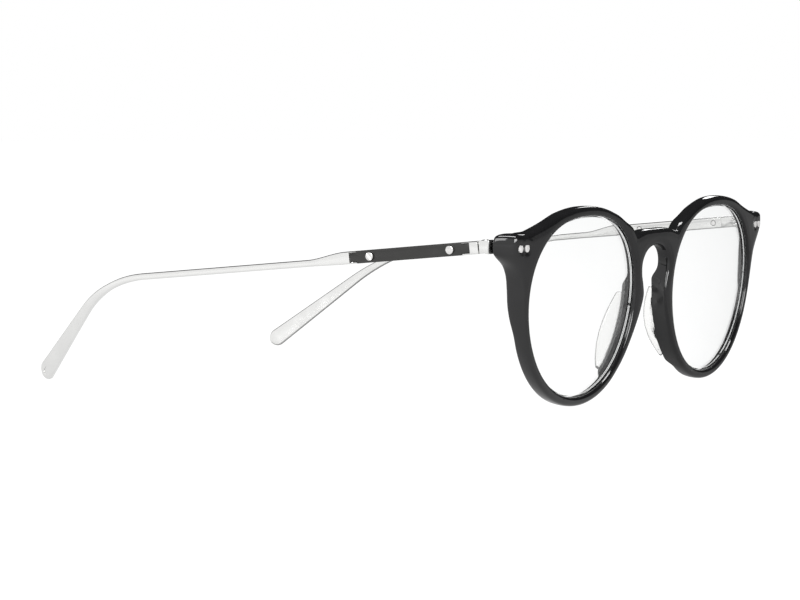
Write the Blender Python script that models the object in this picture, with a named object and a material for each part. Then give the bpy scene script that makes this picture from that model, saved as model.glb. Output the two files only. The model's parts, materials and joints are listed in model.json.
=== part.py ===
"""Round panto eyeglasses: an acetate front with a keyhole bridge on slim metal temples.

The front is drawn in its own frame: X to the wearer's left, Y rearwards, Z up in the plane of the
front, and Y = 0 on the front face at the bridge. An empty named stance tips that frame until the two
rims and both temple tips stand on Z = 0. All sizes are in metres. Right is the wearer's right (-X):
every sub-part is drawn there and mirrored for the left.
"""
import math

import bmesh
import bpy
from mathutils import Matrix, Vector

# Clearances.
SEAT_GAP = 0.0003        # between pieces that are glued, riveted or closed on each other
PIN_GAP = 0.00015        # around rivets, screws and knuckles, and along the inlay

# Lens opening: the radius about the opening's centre is a short Fourier series of the angle.
LENS_RADIUS = 0.02248
LENS_LIFT = 0.0005       # raises the outline
LENS_WIDEN = 0.00097     # makes it wider than it is high
LENS_PANTO = 0.00062     # flattens the brow and rounds the cheek
LENS_SQUARE = -0.00025   # fills the corners
OPENING_POINTS = 52
OUTLINE_STEPS = 3        # from one point of the front's outer outline to the next

# Acetate front.
FRONT_THICKNESS = 0.0036
FRONT_BASE_CURVE = 1.3   # 1/m, the front's bend about Z
BRIDGE_GAP = 0.0204      # between the two openings
RIM_WIDTH = 0.0022
FACE_ROUND = 0.0006      # rounding of the edges at the front face
BACK_ROUND = 0.0004
GROOVE_DEPTH = 0.0006
GROOVE_MOUTH = 0.0006    # half width
GROOVE_FLOOR = 0.0004
BRIDGE_TOP = 0.01675
KEYHOLE_TOP = 0.01275
KEYHOLE_HALF = 0.0067    # half width
END_PIECE_REACH = 0.0074 # from the opening to the outer end of the front face
END_PIECE_TOP = 0.0181
END_PIECE_FOOT = 0.0131
END_PIECE_SWEEP = 0.0026 # how far the back of the end piece stands out past its front
END_PIECE_SWEPT = 0.0035 # how much of its length takes part in that
END_PIECE_SWEPT_RISE = (0.0095, 0.0135)  # and the heights between which it begins
END_PIECE_EXTRA = 0.0012 # thickness beyond that of the rims
END_PIECE_BLEND = (0.0072, 0.0052)  # where it thickens, inwards from its outer end
END_PIECE_RISE = (-0.012, 0.003)    # and the heights between which it thickens

# Built-up nose: the back of the nasal rim rises, and its side leans away from the nose.
NOSE_RISE = 0.0014
NOSE_TOP_ANGLE = math.radians(173)
NOSE_FOOT_ANGLE = math.radians(228)
NOSE_BACK_WIDTH = 0.0019
NOSE_BLEND = math.radians(8)

# Clear nose pads.
PAD_REACH = 0.0036
PAD_THICKNESS = 0.0013
PAD_OFFSET = 0.0011      # middle of the pad's root, beyond the opening
PAD_FLARE = math.radians(20)
PAD_TOP_ANGLE = math.radians(177)
PAD_FOOT_ANGLE = math.radians(226)
PAD_SWELL = (0.08, 0.94) # part of a half wave that the pad's reach follows
PAD_SWELL_POWER = 0.75
PAD_SECTIONS = 11

# Lenses.
LENS_THICKNESS = 0.0015
LENS_BULGE = 0.0011
LENS_EDGE = 0.0003       # how far the tongue at its edge enters the groove
LENS_EDGE_HALF = 0.00012 # half width of the tongue's end
LENS_TONGUE_HALF = 0.0002

# Rivets of the end piece.
RIVET_RADIUS = 0.00082
RIVET_INSETS = (0.0045, 0.0021)   # from the end of the front face
RIVET_Z = 0.0149
RIVET_PROUD = 0.0001

# Hinge: the axis crosses the temple's line at a right angle.
HINGE_INSET = 0.0003     # the axis lies inside the end of the front face
HINGE_BEHIND = 0.0031    # from the back of the acetate to the axis
HINGE_Z = 0.0147
TEMPLE_DROP = math.radians(9.9)
KNUCKLE_RADIUS = 0.00115
KNUCKLE_HEIGHT = 0.0008
EAR_HEIGHT = 0.0006
FLANGE_THICKNESS = 0.0008
FLANGE_LENGTH = 0.0085   # along the back of the acetate
HINGE_PIN_RADIUS = 0.00045
HINGE_HEAD_RADIUS = 0.0009
HINGE_HEAD_HEIGHT = 0.0003
HINGE_SCREW_TURN = math.radians(20)

# Temples.
TEMPLE_OUTSET = 0.0023   # from the hinge axis out to the middle of the bar
BAR_THICKNESS = 0.0018
BAR_HEIGHT = 0.00295
BAR_CHAMFER = 0.00025
TAPER_START = 0.0363
TAPER_END = 0.0474
ROD_HEIGHT = 0.0016
ROD_DROP = 0.8           # share of the taper that the upper edge takes, up to 1
ROD_THICKNESS = 0.0013
BEND_START = 0.0978
BEND_RADIUS = 0.046
BEND_ANGLE = math.radians(33.3)
TEMPLE_LENGTH = 0.1545   # along the bar, from the hinge axis to the tip
TOE_IN_START = 0.0888
TOE_IN_LENGTH = 0.034    # over which the bar turns inwards
TOE_IN_SLOPE = 0.335
PADDLE_START = 0.1108
PADDLE_WIDTH = 0.0049
PADDLE_THICKNESS = 0.0010
PADDLE_THINNING = 0.020  # length over which the rod flattens to that thickness
TIP_OVAL = (0.0017, 0.0008)
TIP_OVAL_FROM_END = 0.0027
TIP_OVAL_DEPTH = 0.00015
LEAF_LENGTH = 0.0050
LEAF_THICKNESS = 0.0005

# Inlay on the outer side of each temple, with its two screws.
INLAY_START = 0.0025
INLAY_END = 0.0351
INLAY_TAB = 0.0020
INLAY_TAB_HEIGHT = 0.0021
INLAY_DEPTH = 0.0008
SCREW_PLACES = (0.0075, 0.0294)
SCREW_TURNS = (math.radians(90), math.radians(35))
SCREW_RADIUS = 0.0006
SCREW_HEAD_RADIUS = 0.0010
SCREW_HEAD_HEIGHT = 0.0004
SLOT_WIDTH = 0.00028
SLOT_DEPTH = 0.0002

ROUND_STEPS = 20
SHARP_ANGLE = math.radians(35)
CUT_LENGTH = 0.02        # longer than anything that a cutter passes through

# Derived sizes.
TOE_IN_END = TOE_IN_START + TOE_IN_LENGTH
GROOVE_MIDDLE = FRONT_THICKNESS / 2
HINGE_HALF = KNUCKLE_HEIGHT / 2 + PIN_GAP + EAR_HEIGHT
BAR_OUTER = TEMPLE_OUTSET + BAR_THICKNESS / 2
BAR_INNER = TEMPLE_OUTSET - BAR_THICKNESS / 2
MOST_TILT = math.radians(15)
SIDES = (("right", -1), ("left", 1))


# ---------------------------------------------------------------- helpers

def clear_scene():
    for obj in list(bpy.data.objects):
        bpy.data.objects.remove(obj, do_unlink=True)


def smoothstep(low, high, value):
    t = min(1.0, max(0.0, (value - low) / (high - low)))
    return t * t * (3 - 2 * t)


def make_material(name, colour, roughness, metallic=0.0, transmission=0.0):
    material = bpy.data.materials.new(name)
    material.use_nodes = True
    shader = material.node_tree.nodes["Principled BSDF"]
    shader.inputs["Base Color"].default_value = (*colour, 1.0)
    shader.inputs["Roughness"].default_value = roughness
    shader.inputs["Metallic"].default_value = metallic
    shader.inputs["Transmission Weight"].default_value = transmission
    return material


def add_empty(name, parent=None, location=(0, 0, 0), rotation=(0, 0, 0)):
    empty = bpy.data.objects.new(name, None)
    empty.empty_display_size = 0.01
    empty.parent = parent
    empty.location = location
    empty.rotation_euler = rotation
    bpy.context.collection.objects.link(empty)
    return empty


def add_object(name, bm, side, parent, material=None):
    """Links the mesh, which is drawn on the wearer's right, and mirrors it when side is +1."""
    if side > 0:
        bmesh.ops.scale(bm, vec=(-1, 1, 1), verts=bm.verts)
    bmesh.ops.recalc_face_normals(bm, faces=bm.faces)
    if bm.calc_volume(signed=True) < 0:
        bmesh.ops.reverse_faces(bm, faces=bm.faces)
    mesh = bpy.data.meshes.new(name)
    bm.to_mesh(mesh)
    bm.free()
    mesh.shade_smooth()
    mesh.set_sharp_from_angle(angle=SHARP_ANGLE)
    obj = bpy.data.objects.new(name, mesh)
    obj.parent = parent
    bpy.context.collection.objects.link(obj)
    if material:
        mesh.materials.append(material)
    else:
        obj.hide_render = True
        obj.display_type = "WIRE"
    return obj


def boolean(target, helper, operation):
    modifier = target.modifiers.new(helper.name, "BOOLEAN")
    modifier.operation = operation
    modifier.solver = "EXACT"
    modifier.object = helper


def loft(bm, sections):
    """Bridges a row of rings that have the same number of points, and caps its ends."""
    rings = [[bm.verts.new(point) for point in section] for section in sections]
    for first, second in zip(rings, rings[1:]):
        for i in range(len(first)):
            j = (i + 1) % len(first)
            bm.faces.new((first[i], first[j], second[j], second[i]))
    bm.faces.new(list(reversed(rings[0])))
    bm.faces.new(rings[-1])


def prism(outline, low, high, place):
    """A bmesh of a flat outline of (u, v) pairs drawn from low to high; place maps (u, v, w)."""
    bm = bmesh.new()
    loft(bm, [[place(u, v, w) for u, v in outline] for w in (low, high)])
    return bm


def disc(radius, low, high, place):
    turns = [2 * math.pi * i / ROUND_STEPS for i in range(ROUND_STEPS)]
    outline = [(radius * math.cos(turn), radius * math.sin(turn)) for turn in turns]
    return prism(outline, low, high, place)


def rectangle(width, height):
    x, y = width / 2, height / 2
    return [(-x, -y), (x, -y), (x, y), (-x, y)]


def smooth_outline(points, steps):
    """A closed curve through the points; a point given as (x, z, "corner") stays sharp."""
    count = len(points)
    outline = []
    for i in range(count):
        before, start, end, after = (points[(i + k) % count] for k in (-1, 0, 1, 2))
        p0, p1, p2, p3 = (Vector(p[:2]) for p in (before, start, end, after))
        span = (p2 - p1).length
        out = (p2 - p0) * span / ((p1 - p0).length + span)
        back = (p3 - p1) * span / ((p3 - p2).length + span)
        if len(start) > 2:
            out = p2 - p1
        if len(end) > 2:
            back = p2 - p1
        for k in range(steps):
            t = k / steps
            outline.append(
                p1 * (2 * t**3 - 3 * t**2 + 1) + out * (t**3 - 2 * t**2 + t)
                + p2 * (3 * t**2 - 2 * t**3) + back * (t**3 - t**2)
            )
    return outline


# ---------------------------------------------------------------- the front's shape

def opening_radius(angle):
    """Radius of the lens opening; the angle is 0 at the temple side and grows over the brow."""
    return (
        LENS_RADIUS + LENS_LIFT * math.sin(angle) + LENS_WIDEN * math.cos(2 * angle)
        + LENS_PANTO * math.sin(3 * angle) + LENS_SQUARE * math.cos(4 * angle)
    )


def back_of_end_piece(x):
    """Y of the end piece's back face."""
    return FRONT_BASE_CURVE * x * x / 2 + FRONT_THICKNESS + END_PIECE_EXTRA


LENS_CENTRE_X = BRIDGE_GAP / 2 + opening_radius(math.pi)
END_PIECE_X = LENS_CENTRE_X + opening_radius(0) + END_PIECE_REACH
RIVET_X = tuple(END_PIECE_X - inset for inset in RIVET_INSETS)
HINGE_X = END_PIECE_X - HINGE_INSET
HINGE_Y = back_of_end_piece(HINGE_X) + HINGE_BEHIND


def around_lens(angle, offset):
    """A point of the right lens outline, moved outwards by the offset."""
    radius = opening_radius(angle) + offset
    return Vector((-LENS_CENTRE_X - radius * math.cos(angle), radius * math.sin(angle)))


def half_outline():
    """Outer outline of the right half, from the bridge's top over the brow round to the keyhole."""
    brow = [
        (-0.0060, BRIDGE_TOP - 0.0001), (-0.0096, BRIDGE_TOP - 0.0008),
        (-0.0107, BRIDGE_TOP - 0.0011, "corner"),
    ]
    # Angle about the opening, and width of acetate there in millimetres.
    for degrees, width in (
        (139, 3.4), (132, 2.5), (121, 2.1), (102, 2.2), (81, 2.35), (63, 2.6), (50, 3.3), (42, 4.9),
    ):
        brow.append(tuple(around_lens(math.radians(degrees), width / 1000)))
    end_piece = [
        (END_PIECE_X - 0.0050, END_PIECE_TOP), (END_PIECE_X - 0.0018, END_PIECE_TOP),
        (END_PIECE_X - 0.0005, END_PIECE_TOP - 0.0005), (END_PIECE_X, END_PIECE_TOP - 0.0019),
        (END_PIECE_X, END_PIECE_FOOT + 0.0018), (END_PIECE_X - 0.0004, END_PIECE_FOOT),
    ]
    cheek = [tuple(around_lens(math.radians(d), w / 1000)) for d, w in ((17, 4.7), (11, 3.3), (4, 2.6))]
    cheek += [tuple(around_lens(math.radians(-degrees), RIM_WIDTH)) for degrees in range(8, 142, 13)]
    nose = []
    for degrees, width in (
        (213, 2.4), (203, 2.8), (193, 3.6), (185, 4.5), (178, 5.1), (172, 4.4), (167.5, 3.8),
    ):
        nose.append(tuple(around_lens(math.radians(degrees), width / 1000)))
    keyhole = [
        (-KEYHOLE_HALF, KEYHOLE_TOP - 0.0040), (-0.80 * KEYHOLE_HALF, KEYHOLE_TOP - 0.0018),
        (-0.46 * KEYHOLE_HALF, KEYHOLE_TOP - 0.0005),
    ]
    return brow + [(-x, z) for x, z in end_piece] + cheek + nose + keyhole


def front_outline():
    right = half_outline()
    left = [(-p[0], *p[1:]) for p in reversed(right)]
    return smooth_outline([(0, BRIDGE_TOP), *right, (0, KEYHOLE_TOP), *left], OUTLINE_STEPS)


def nose_share(angle, blend_in):
    """1 along the built-up nose and 0 elsewhere."""
    angle %= 2 * math.pi
    rise = smoothstep(NOSE_TOP_ANGLE - NOSE_BLEND, NOSE_TOP_ANGLE + blend_in, angle)
    fall = smoothstep(NOSE_FOOT_ANGLE, NOSE_FOOT_ANGLE + NOSE_BLEND, angle)
    return rise * (1 - fall)


def wrap(x, depth, z):
    """Bends a point of the flat front at this depth behind its face into place."""
    sign = 1 if x > 0 else -1
    across = abs(x) - LENS_CENTRE_X
    angle = math.atan2(z, across)
    reach = math.hypot(z, across)
    nasal = abs(x) < LENS_CENTRE_X
    rise = NOSE_RISE * nose_share(angle, 0) * nasal * (depth / FRONT_THICKNESS) ** 2
    lean = nose_share(angle, NOSE_BLEND) * nasal * depth / FRONT_THICKNESS
    spare = max(0, reach - opening_radius(angle) - NOSE_BACK_WIDTH)
    reach -= spare * lean
    x = sign * (LENS_CENTRE_X + reach * math.cos(angle))
    z = reach * math.sin(angle)
    depth += rise
    swept = smoothstep(END_PIECE_X - END_PIECE_SWEPT, END_PIECE_X, abs(x))
    swept *= smoothstep(*END_PIECE_SWEPT_RISE, z) * depth / FRONT_THICKNESS
    inner, outer = (END_PIECE_X - inset for inset in END_PIECE_BLEND)
    stout = smoothstep(inner, outer, abs(x)) * smoothstep(*END_PIECE_RISE, z)
    y = FRONT_BASE_CURVE * x * x / 2 + depth * (1 + stout * END_PIECE_EXTRA / FRONT_THICKNESS)
    return Vector((x + sign * END_PIECE_SWEEP * swept, y, z))


def edge_profile(grooved):
    """(inset, depth) pairs down the edge of the front; a positive inset goes into the acetate."""
    quarter = [(1 - math.cos(a), 1 - math.sin(a)) for a in (0, math.pi / 4, math.pi / 2)]
    face = [(inset * FACE_ROUND, depth * FACE_ROUND) for inset, depth in reversed(quarter)]
    groove = [
        (0, GROOVE_MIDDLE - GROOVE_MOUTH), (GROOVE_DEPTH, GROOVE_MIDDLE - GROOVE_FLOOR),
        (GROOVE_DEPTH, GROOVE_MIDDLE + GROOVE_FLOOR), (0, GROOVE_MIDDLE + GROOVE_MOUTH),
    ]
    back = [(inset * BACK_ROUND, FRONT_THICKNESS - depth * BACK_ROUND) for inset, depth in quarter]
    return face + (groove if grooved else []) + back


def inward_normals(outline):
    """Unit normals into the acetate, which is on the left of travel."""
    count = len(outline)
    normals = []
    for i in range(count):
        along = (outline[(i + 1) % count] - outline[i - 1]).normalized()
        normals.append(Vector((-along.y, along.x)))
    return normals


def front_mesh():
    """The front as one plate: its edges are rings, and its two faces are filled between them."""
    outer = front_outline()
    turn = 2 * math.pi / OPENING_POINTS
    right = [around_lens(i * turn, 0) for i in range(OPENING_POINTS)]
    left = [Vector((-point.x, point.y)) for point in reversed(right)]
    bm = bmesh.new()
    caps = {0: [], 1: []}
    for outline, grooved in ((outer, False), (right, True), (left, True)):
        normals = inward_normals(outline)
        rings = []
        for inset, depth in edge_profile(grooved):
            ring = []
            for point, normal in zip(outline, normals):
                flat = point + normal * inset
                ring.append(bm.verts.new(wrap(flat.x, depth, flat.y)))
            rings.append(ring)
        for first, second in zip(rings, rings[1:]):
            for i in range(len(first)):
                j = (i + 1) % len(first)
                bm.faces.new((first[i], first[j], second[j], second[i]))
        for end, ring in ((0, rings[0]), (1, rings[-1])):
            caps[end] += [bm.edges.get((ring[i - 1], ring[i])) for i in range(len(ring))]
    for edges in caps.values():
        bmesh.ops.triangle_fill(bm, edges=edges, use_beauty=True)
    return bm


def in_front(u, v, w):
    """Places a cutter's (u, v, w) as X, Z and Y of the front."""
    return Vector((u, w, v))


def add_front(parent, material):
    front = add_object("front_frame", front_mesh(), -1, parent, material)
    for name, side in SIDES:
        for number, x in enumerate(RIVET_X, 1):
            hole = disc(
                RIVET_RADIUS + PIN_GAP, -CUT_LENGTH, CUT_LENGTH,
                lambda u, v, w, x=x: in_front(u - x, v + RIVET_Z, w),
            )
            boolean(front, add_object(f"cut_rivet_{name}_{number}", hole, side, parent), "DIFFERENCE")
    return front


def lens_mesh():
    """A meniscus lens; the tongue along its edge stands in the groove."""
    half = LENS_THICKNESS / 2
    turn = 2 * math.pi / OPENING_POINTS
    rings = []
    for side, shares in ((-1, (0.25, 0.5, 0.75, 1.0)), (1, (1.0, 0.75, 0.5, 0.25))):
        for share in shares:
            rings.append((share, -SEAT_GAP, side * half))
        if side < 0:
            rings.append((1.0, -SEAT_GAP, -LENS_TONGUE_HALF))
            rings.append((1.0, LENS_EDGE, -LENS_EDGE_HALF))
            rings.append((1.0, LENS_EDGE, LENS_EDGE_HALF))
            rings.append((1.0, -SEAT_GAP, LENS_TONGUE_HALF))
    sections = []
    for share, offset, thickness in rings:
        section = []
        for i in range(OPENING_POINTS):
            point = around_lens(i * turn, offset)
            x = -LENS_CENTRE_X + (point.x + LENS_CENTRE_X) * share
            bulge = LENS_BULGE * (1 - share * share)
            y = FRONT_BASE_CURVE * x * x / 2 + GROOVE_MIDDLE + thickness - bulge
            section.append((x, y, point.y * share))
        sections.append(section)
    bm = bmesh.new()
    loft(bm, sections)
    return bm


def pad_mesh():
    """A clear fin behind the built-up nose: each section is a flat tongue with a round end."""
    sections = []
    half = PAD_THICKNESS / 2
    root_depth = FRONT_THICKNESS + NOSE_RISE + SEAT_GAP
    for i in range(PAD_SECTIONS):
        along = i / (PAD_SECTIONS - 1)
        angle = PAD_TOP_ANGLE + (PAD_FOOT_ANGLE - PAD_TOP_ANGLE) * along
        wave = PAD_SWELL[0] + (PAD_SWELL[1] - PAD_SWELL[0]) * along
        swell = math.sin(math.pi * wave) ** PAD_SWELL_POWER
        root = around_lens(angle, PAD_OFFSET)
        outward = (Vector((-LENS_CENTRE_X, 0)) - root).normalized()
        y = FRONT_BASE_CURVE * root.x**2 / 2 + root_depth
        reach = PAD_REACH * swell
        tongue = [(-half, 0), (half, 0), (half, reach - half), (half * 0.7, reach - 0.3 * half)]
        tongue += [(0, reach), (-half * 0.7, reach - 0.3 * half), (-half, reach - half)]
        section = []
        for aside, back in tongue:
            shift = aside * math.cos(PAD_FLARE) + back * math.sin(PAD_FLARE)
            depth = max(back * math.cos(PAD_FLARE) - aside * math.sin(PAD_FLARE), 0)
            section.append((root.x + outward.x * shift, y + depth, root.y + outward.y * shift))
        sections.append(section)
    bm = bmesh.new()
    loft(bm, sections)
    return bm


def rivet_mesh(x):
    face = FRONT_BASE_CURVE * x * x / 2
    return disc(
        RIVET_RADIUS, face - RIVET_PROUD, face + FRONT_THICKNESS + END_PIECE_EXTRA,
        lambda u, v, w: in_front(u - x, v + RIVET_Z, w),
    )


# ---------------------------------------------------------------- hinge

def on_axis(u, v, w):
    """Places (u, v, w) in the hinge's own frame: X, Y along the temple, Z along the axis."""
    return Vector((u, v, w))


def to_hinge(x, y, z):
    """A point of the front's frame, in the frame of the right hinge."""
    point = Vector((x + HINGE_X, y - HINGE_Y, z - HINGE_Z))
    return Matrix.Rotation(TEMPLE_DROP, 3, "X") @ point


def knuckle_outline(web):
    """A round knuckle, open towards -X, where the web's points join it to the metal beside it."""
    steps = 10
    arc = [math.radians(-90 + 180 * i / steps) for i in range(steps + 1)]
    return [(KNUCKLE_RADIUS * math.cos(a), KNUCKLE_RADIUS * math.sin(a)) for a in arc] + web


def block_mesh():
    """The metal block between the end piece and the seam, and its flange behind the rivets."""
    half = BAR_HEIGHT / 2
    bm = bmesh.new()
    corners = []
    for x in (-HINGE_X - BAR_OUTER, -HINGE_X - BAR_INNER):
        for z in (-half, half):
            front = to_hinge(x, back_of_end_piece(x) + SEAT_GAP, HINGE_Z + z)
            corners.append((Vector((x + HINGE_X, front.y, z)), Vector((x + HINGE_X, -PIN_GAP, z))))
    order = (0, 1, 3, 2)
    loft(bm, [[corners[i][0] for i in order], [corners[i][1] for i in order]])
    return bm


def flange_mesh():
    half = BAR_HEIGHT / 2
    bm = bmesh.new()
    sections = []
    outer = HINGE_X + BAR_OUTER - PIN_GAP
    for x in (-outer, FLANGE_LENGTH - outer):
        near = back_of_end_piece(x) + SEAT_GAP
        far = near + FLANGE_THICKNESS
        corners = ((near, -half), (near, half), (far, half), (far, -half))
        sections.append([to_hinge(x, y, RIVET_Z + z) for y, z in corners])
    loft(bm, sections)
    return bm


def add_hinge_block(name, side, parent, material):
    block = add_object(f"hinge_block_{name}", block_mesh(), side, parent, material)
    boolean(block, add_object(f"join_flange_{name}", flange_mesh(), side, parent), "UNION")
    low = KNUCKLE_HEIGHT / 2 + PIN_GAP
    for place, (start, end) in (("upper", (low, HINGE_HALF)), ("lower", (-HINGE_HALF, -low))):
        web = [(-0.8 * KNUCKLE_RADIUS, 0.6 * KNUCKLE_RADIUS), (-BAR_INNER - PIN_GAP, -PIN_GAP)]
        web.append((-BAR_INNER - PIN_GAP, -2 * KNUCKLE_RADIUS))
        ear = prism(knuckle_outline(web), start, end, on_axis)
        boolean(block, add_object(f"join_ear_{name}_{place}", ear, side, parent), "UNION")
    bore = disc(HINGE_PIN_RADIUS + PIN_GAP, -CUT_LENGTH, CUT_LENGTH, on_axis)
    boolean(block, add_object(f"cut_pin_{name}", bore, side, parent), "DIFFERENCE")


def slotted_screw(name, side, parent, material, shank, head, place, turn):
    """A screw along w: shank and head are (radius, low, high); the slot is turned about w."""
    screw = add_object(name, disc(*shank, place), side, parent, material)
    cap = disc(*head, place)
    boolean(screw, add_object(f"join_{name}", cap, side, parent), "UNION")
    radius, low, high = head
    top, inside = (high, high - SLOT_DEPTH) if high > shank[2] else (low, low + SLOT_DEPTH)
    beyond = top + (top - inside)
    spin = Matrix.Rotation(turn, 2)
    outline = [tuple(spin @ Vector(corner)) for corner in rectangle(3 * radius, SLOT_WIDTH)]
    slot = prism(outline, min(inside, beyond), max(inside, beyond), place)
    boolean(screw, add_object(f"cut_{name}", slot, side, parent), "DIFFERENCE")


def add_hinge_screw(name, side, parent, material):
    seat = HINGE_HALF + PIN_GAP
    slotted_screw(
        f"hinge_screw_{name}", side, parent, material,
        (HINGE_PIN_RADIUS, -HINGE_HALF, seat + HINGE_HEAD_HEIGHT / 2),
        (HINGE_HEAD_RADIUS, seat, seat + HINGE_HEAD_HEIGHT), on_axis, HINGE_SCREW_TURN,
    )


# ---------------------------------------------------------------- temples

def bar_height(s):
    return BAR_HEIGHT + (ROD_HEIGHT - BAR_HEIGHT) * smoothstep(TAPER_START, TAPER_END, s)


def bar_thickness(s):
    thin = BAR_THICKNESS + (ROD_THICKNESS - BAR_THICKNESS) * smoothstep(TAPER_START, TAPER_END, s)
    paddle = smoothstep(PADDLE_START, PADDLE_START + PADDLE_THINNING, s)
    return thin + (PADDLE_THICKNESS - ROD_THICKNESS) * paddle


def paddle_width(s):
    """Height of the section along the tip, which ends in a half circle."""
    radius = PADDLE_WIDTH / 2
    centre = TEMPLE_LENGTH - radius
    widened = max(0.0, s - PADDLE_START) / (centre - PADDLE_START)
    width = ROD_HEIGHT + (PADDLE_WIDTH - ROD_HEIGHT) * min(1.0, widened)
    if s > centre:
        width = 2 * math.sqrt(max(radius**2 - (s - centre) ** 2, (0.15 * radius) ** 2))
    return width


def toe_in(s):
    """How far the bar has moved in towards the head."""
    span = TOE_IN_END - TOE_IN_START
    ramp = min(max(s - TOE_IN_START, 0), span)
    return TOE_IN_SLOPE * (ramp * ramp / (2 * span) + max(s - TOE_IN_END, 0))


def bar_path(s):
    """Middle of the bar in the hinge's frame, and the direction across its height."""
    bend = min(max(s - BEND_START, 0) / BEND_RADIUS, BEND_ANGLE)
    y = min(s, BEND_START) + BEND_RADIUS * math.sin(bend)
    z = -BEND_RADIUS * (1 - math.cos(bend))
    rest = max(s - BEND_START - BEND_RADIUS * BEND_ANGLE, 0)
    y += rest * math.cos(BEND_ANGLE)
    z -= rest * math.sin(BEND_ANGLE)
    up = Vector((0, math.sin(bend), math.cos(bend)))
    return Vector((-TEMPLE_OUTSET + toe_in(s), y, z)), up


def bar_section(s):
    centre, up = bar_path(s)
    ahead, _ = bar_path(s + PIN_GAP)
    along = (ahead - centre).normalized()
    outward = along.cross(up).normalized()
    if outward.x > 0:
        outward.negate()
    height = paddle_width(s) if s > PADDLE_START else bar_height(s)
    thickness = bar_thickness(s)
    lift = ROD_DROP * (bar_height(s) - BAR_HEIGHT) / 2
    middle = centre + up * lift + outward * (BAR_THICKNESS - thickness) / 2
    chamfer = min(BAR_CHAMFER, 0.3 * thickness, 0.3 * height)
    points = []
    for a, b in ((-1, -1), (1, -1), (1, 1), (-1, 1)):
        corner = (a * thickness / 2, b * height / 2)
        cut = ((0, -b * chamfer), (-a * chamfer, 0))
        if a * b < 0:
            cut = cut[::-1]
        for da, db in cut:
            points.append(middle + outward * (corner[0] + da) + up * (corner[1] + db))
    return points


def bar_stations():
    radius = PADDLE_WIDTH / 2
    stations = [PIN_GAP, TAPER_START]
    stations += [TAPER_START + (TAPER_END - TAPER_START) * i / 5 for i in range(1, 6)]
    stations += [TOE_IN_START - 0.02, TOE_IN_START]
    steps = 20
    start = TOE_IN_START
    end = TEMPLE_LENGTH - radius
    stations += [start + (end - start) * i / steps for i in range(1, steps + 1)]
    stations += [end + radius * math.sin(math.radians(angle)) for angle in (25, 45, 62, 76, 90)]
    return stations


def bar_mesh():
    bm = bmesh.new()
    loft(bm, [bar_section(s) for s in bar_stations()])
    return bm


def on_outer_face(u, v, w):
    """Places (u, v) as distance along the bar and height, and w as distance out from the axis."""
    return Vector((-w, u, v))


def inlay_outline(grow, half):
    """The inlay seen from outside: a middle of this half height between two narrow tabs."""
    tab = INLAY_TAB_HEIGHT / 2 + grow
    start, end = INLAY_START - grow, INLAY_END + grow
    inner_start, inner_end = INLAY_START + INLAY_TAB - grow, INLAY_END - INLAY_TAB + grow
    return [
        (start, -tab), (inner_start, -tab), (inner_start, -half), (inner_end, -half), (inner_end, -tab),
        (end, -tab), (end, tab), (inner_end, tab), (inner_end, half), (inner_start, half),
        (inner_start, tab), (start, tab),
    ]


def tip_oval_mesh():
    """A shallow oval cutter laid on the outer face of the tip."""
    centre, up = bar_path(TEMPLE_LENGTH - TIP_OVAL_FROM_END)
    ahead, _ = bar_path(TEMPLE_LENGTH)
    along = (ahead - centre).normalized()
    outward = along.cross(up).normalized()
    if outward.x > 0:
        outward.negate()
    middle = centre + up * ROD_DROP * (ROD_HEIGHT - BAR_HEIGHT) / 2
    middle += outward * (BAR_THICKNESS - PADDLE_THICKNESS) / 2
    low = PADDLE_THICKNESS / 2 - TIP_OVAL_DEPTH
    turn = 2 * math.pi / ROUND_STEPS
    long, tall = TIP_OVAL
    outline = [(long * math.cos(i * turn), tall * math.sin(i * turn)) for i in range(ROUND_STEPS)]
    return prism(
        outline, low, low + PADDLE_THICKNESS,
        lambda u, v, w: middle + along * u + up * v + outward * w,
    )


def add_temple(name, side, parent, metal, acetate):
    bar = add_object(f"temple_{name}", bar_mesh(), side, parent, metal)
    floor = BAR_OUTER - INLAY_DEPTH
    outline = inlay_outline(PIN_GAP, BAR_HEIGHT)
    pocket = prism(outline, floor - PIN_GAP, BAR_OUTER + CUT_LENGTH, on_outer_face)
    boolean(bar, add_object(f"cut_pocket_{name}", pocket, side, parent), "DIFFERENCE")
    boolean(bar, add_object(f"cut_oval_{name}", tip_oval_mesh(), side, parent), "DIFFERENCE")
    inlay = prism(inlay_outline(0, BAR_HEIGHT / 2), floor, BAR_OUTER, on_outer_face)
    inlay = add_object(f"inlay_{name}", inlay, side, parent, acetate)
    for number, (place, turn) in enumerate(zip(SCREW_PLACES, SCREW_TURNS), 1):

        def at_screw(u, v, w, place=place):
            return on_outer_face(u + place, v, w)

        hole = disc(SCREW_RADIUS + PIN_GAP, BAR_INNER - CUT_LENGTH, BAR_OUTER + CUT_LENGTH, at_screw)
        hole = add_object(f"cut_screw_{name}_{number}", hole, side, parent)
        boolean(bar, hole, "DIFFERENCE")
        boolean(inlay, hole, "DIFFERENCE")
        seat = BAR_OUTER + PIN_GAP
        slotted_screw(
            f"inlay_screw_{name}_{number}", side, parent, metal,
            (SCREW_RADIUS, BAR_INNER, seat + SCREW_HEAD_HEIGHT / 2),
            (SCREW_HEAD_RADIUS, seat, seat + SCREW_HEAD_HEIGHT), at_screw, turn,
        )


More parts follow.
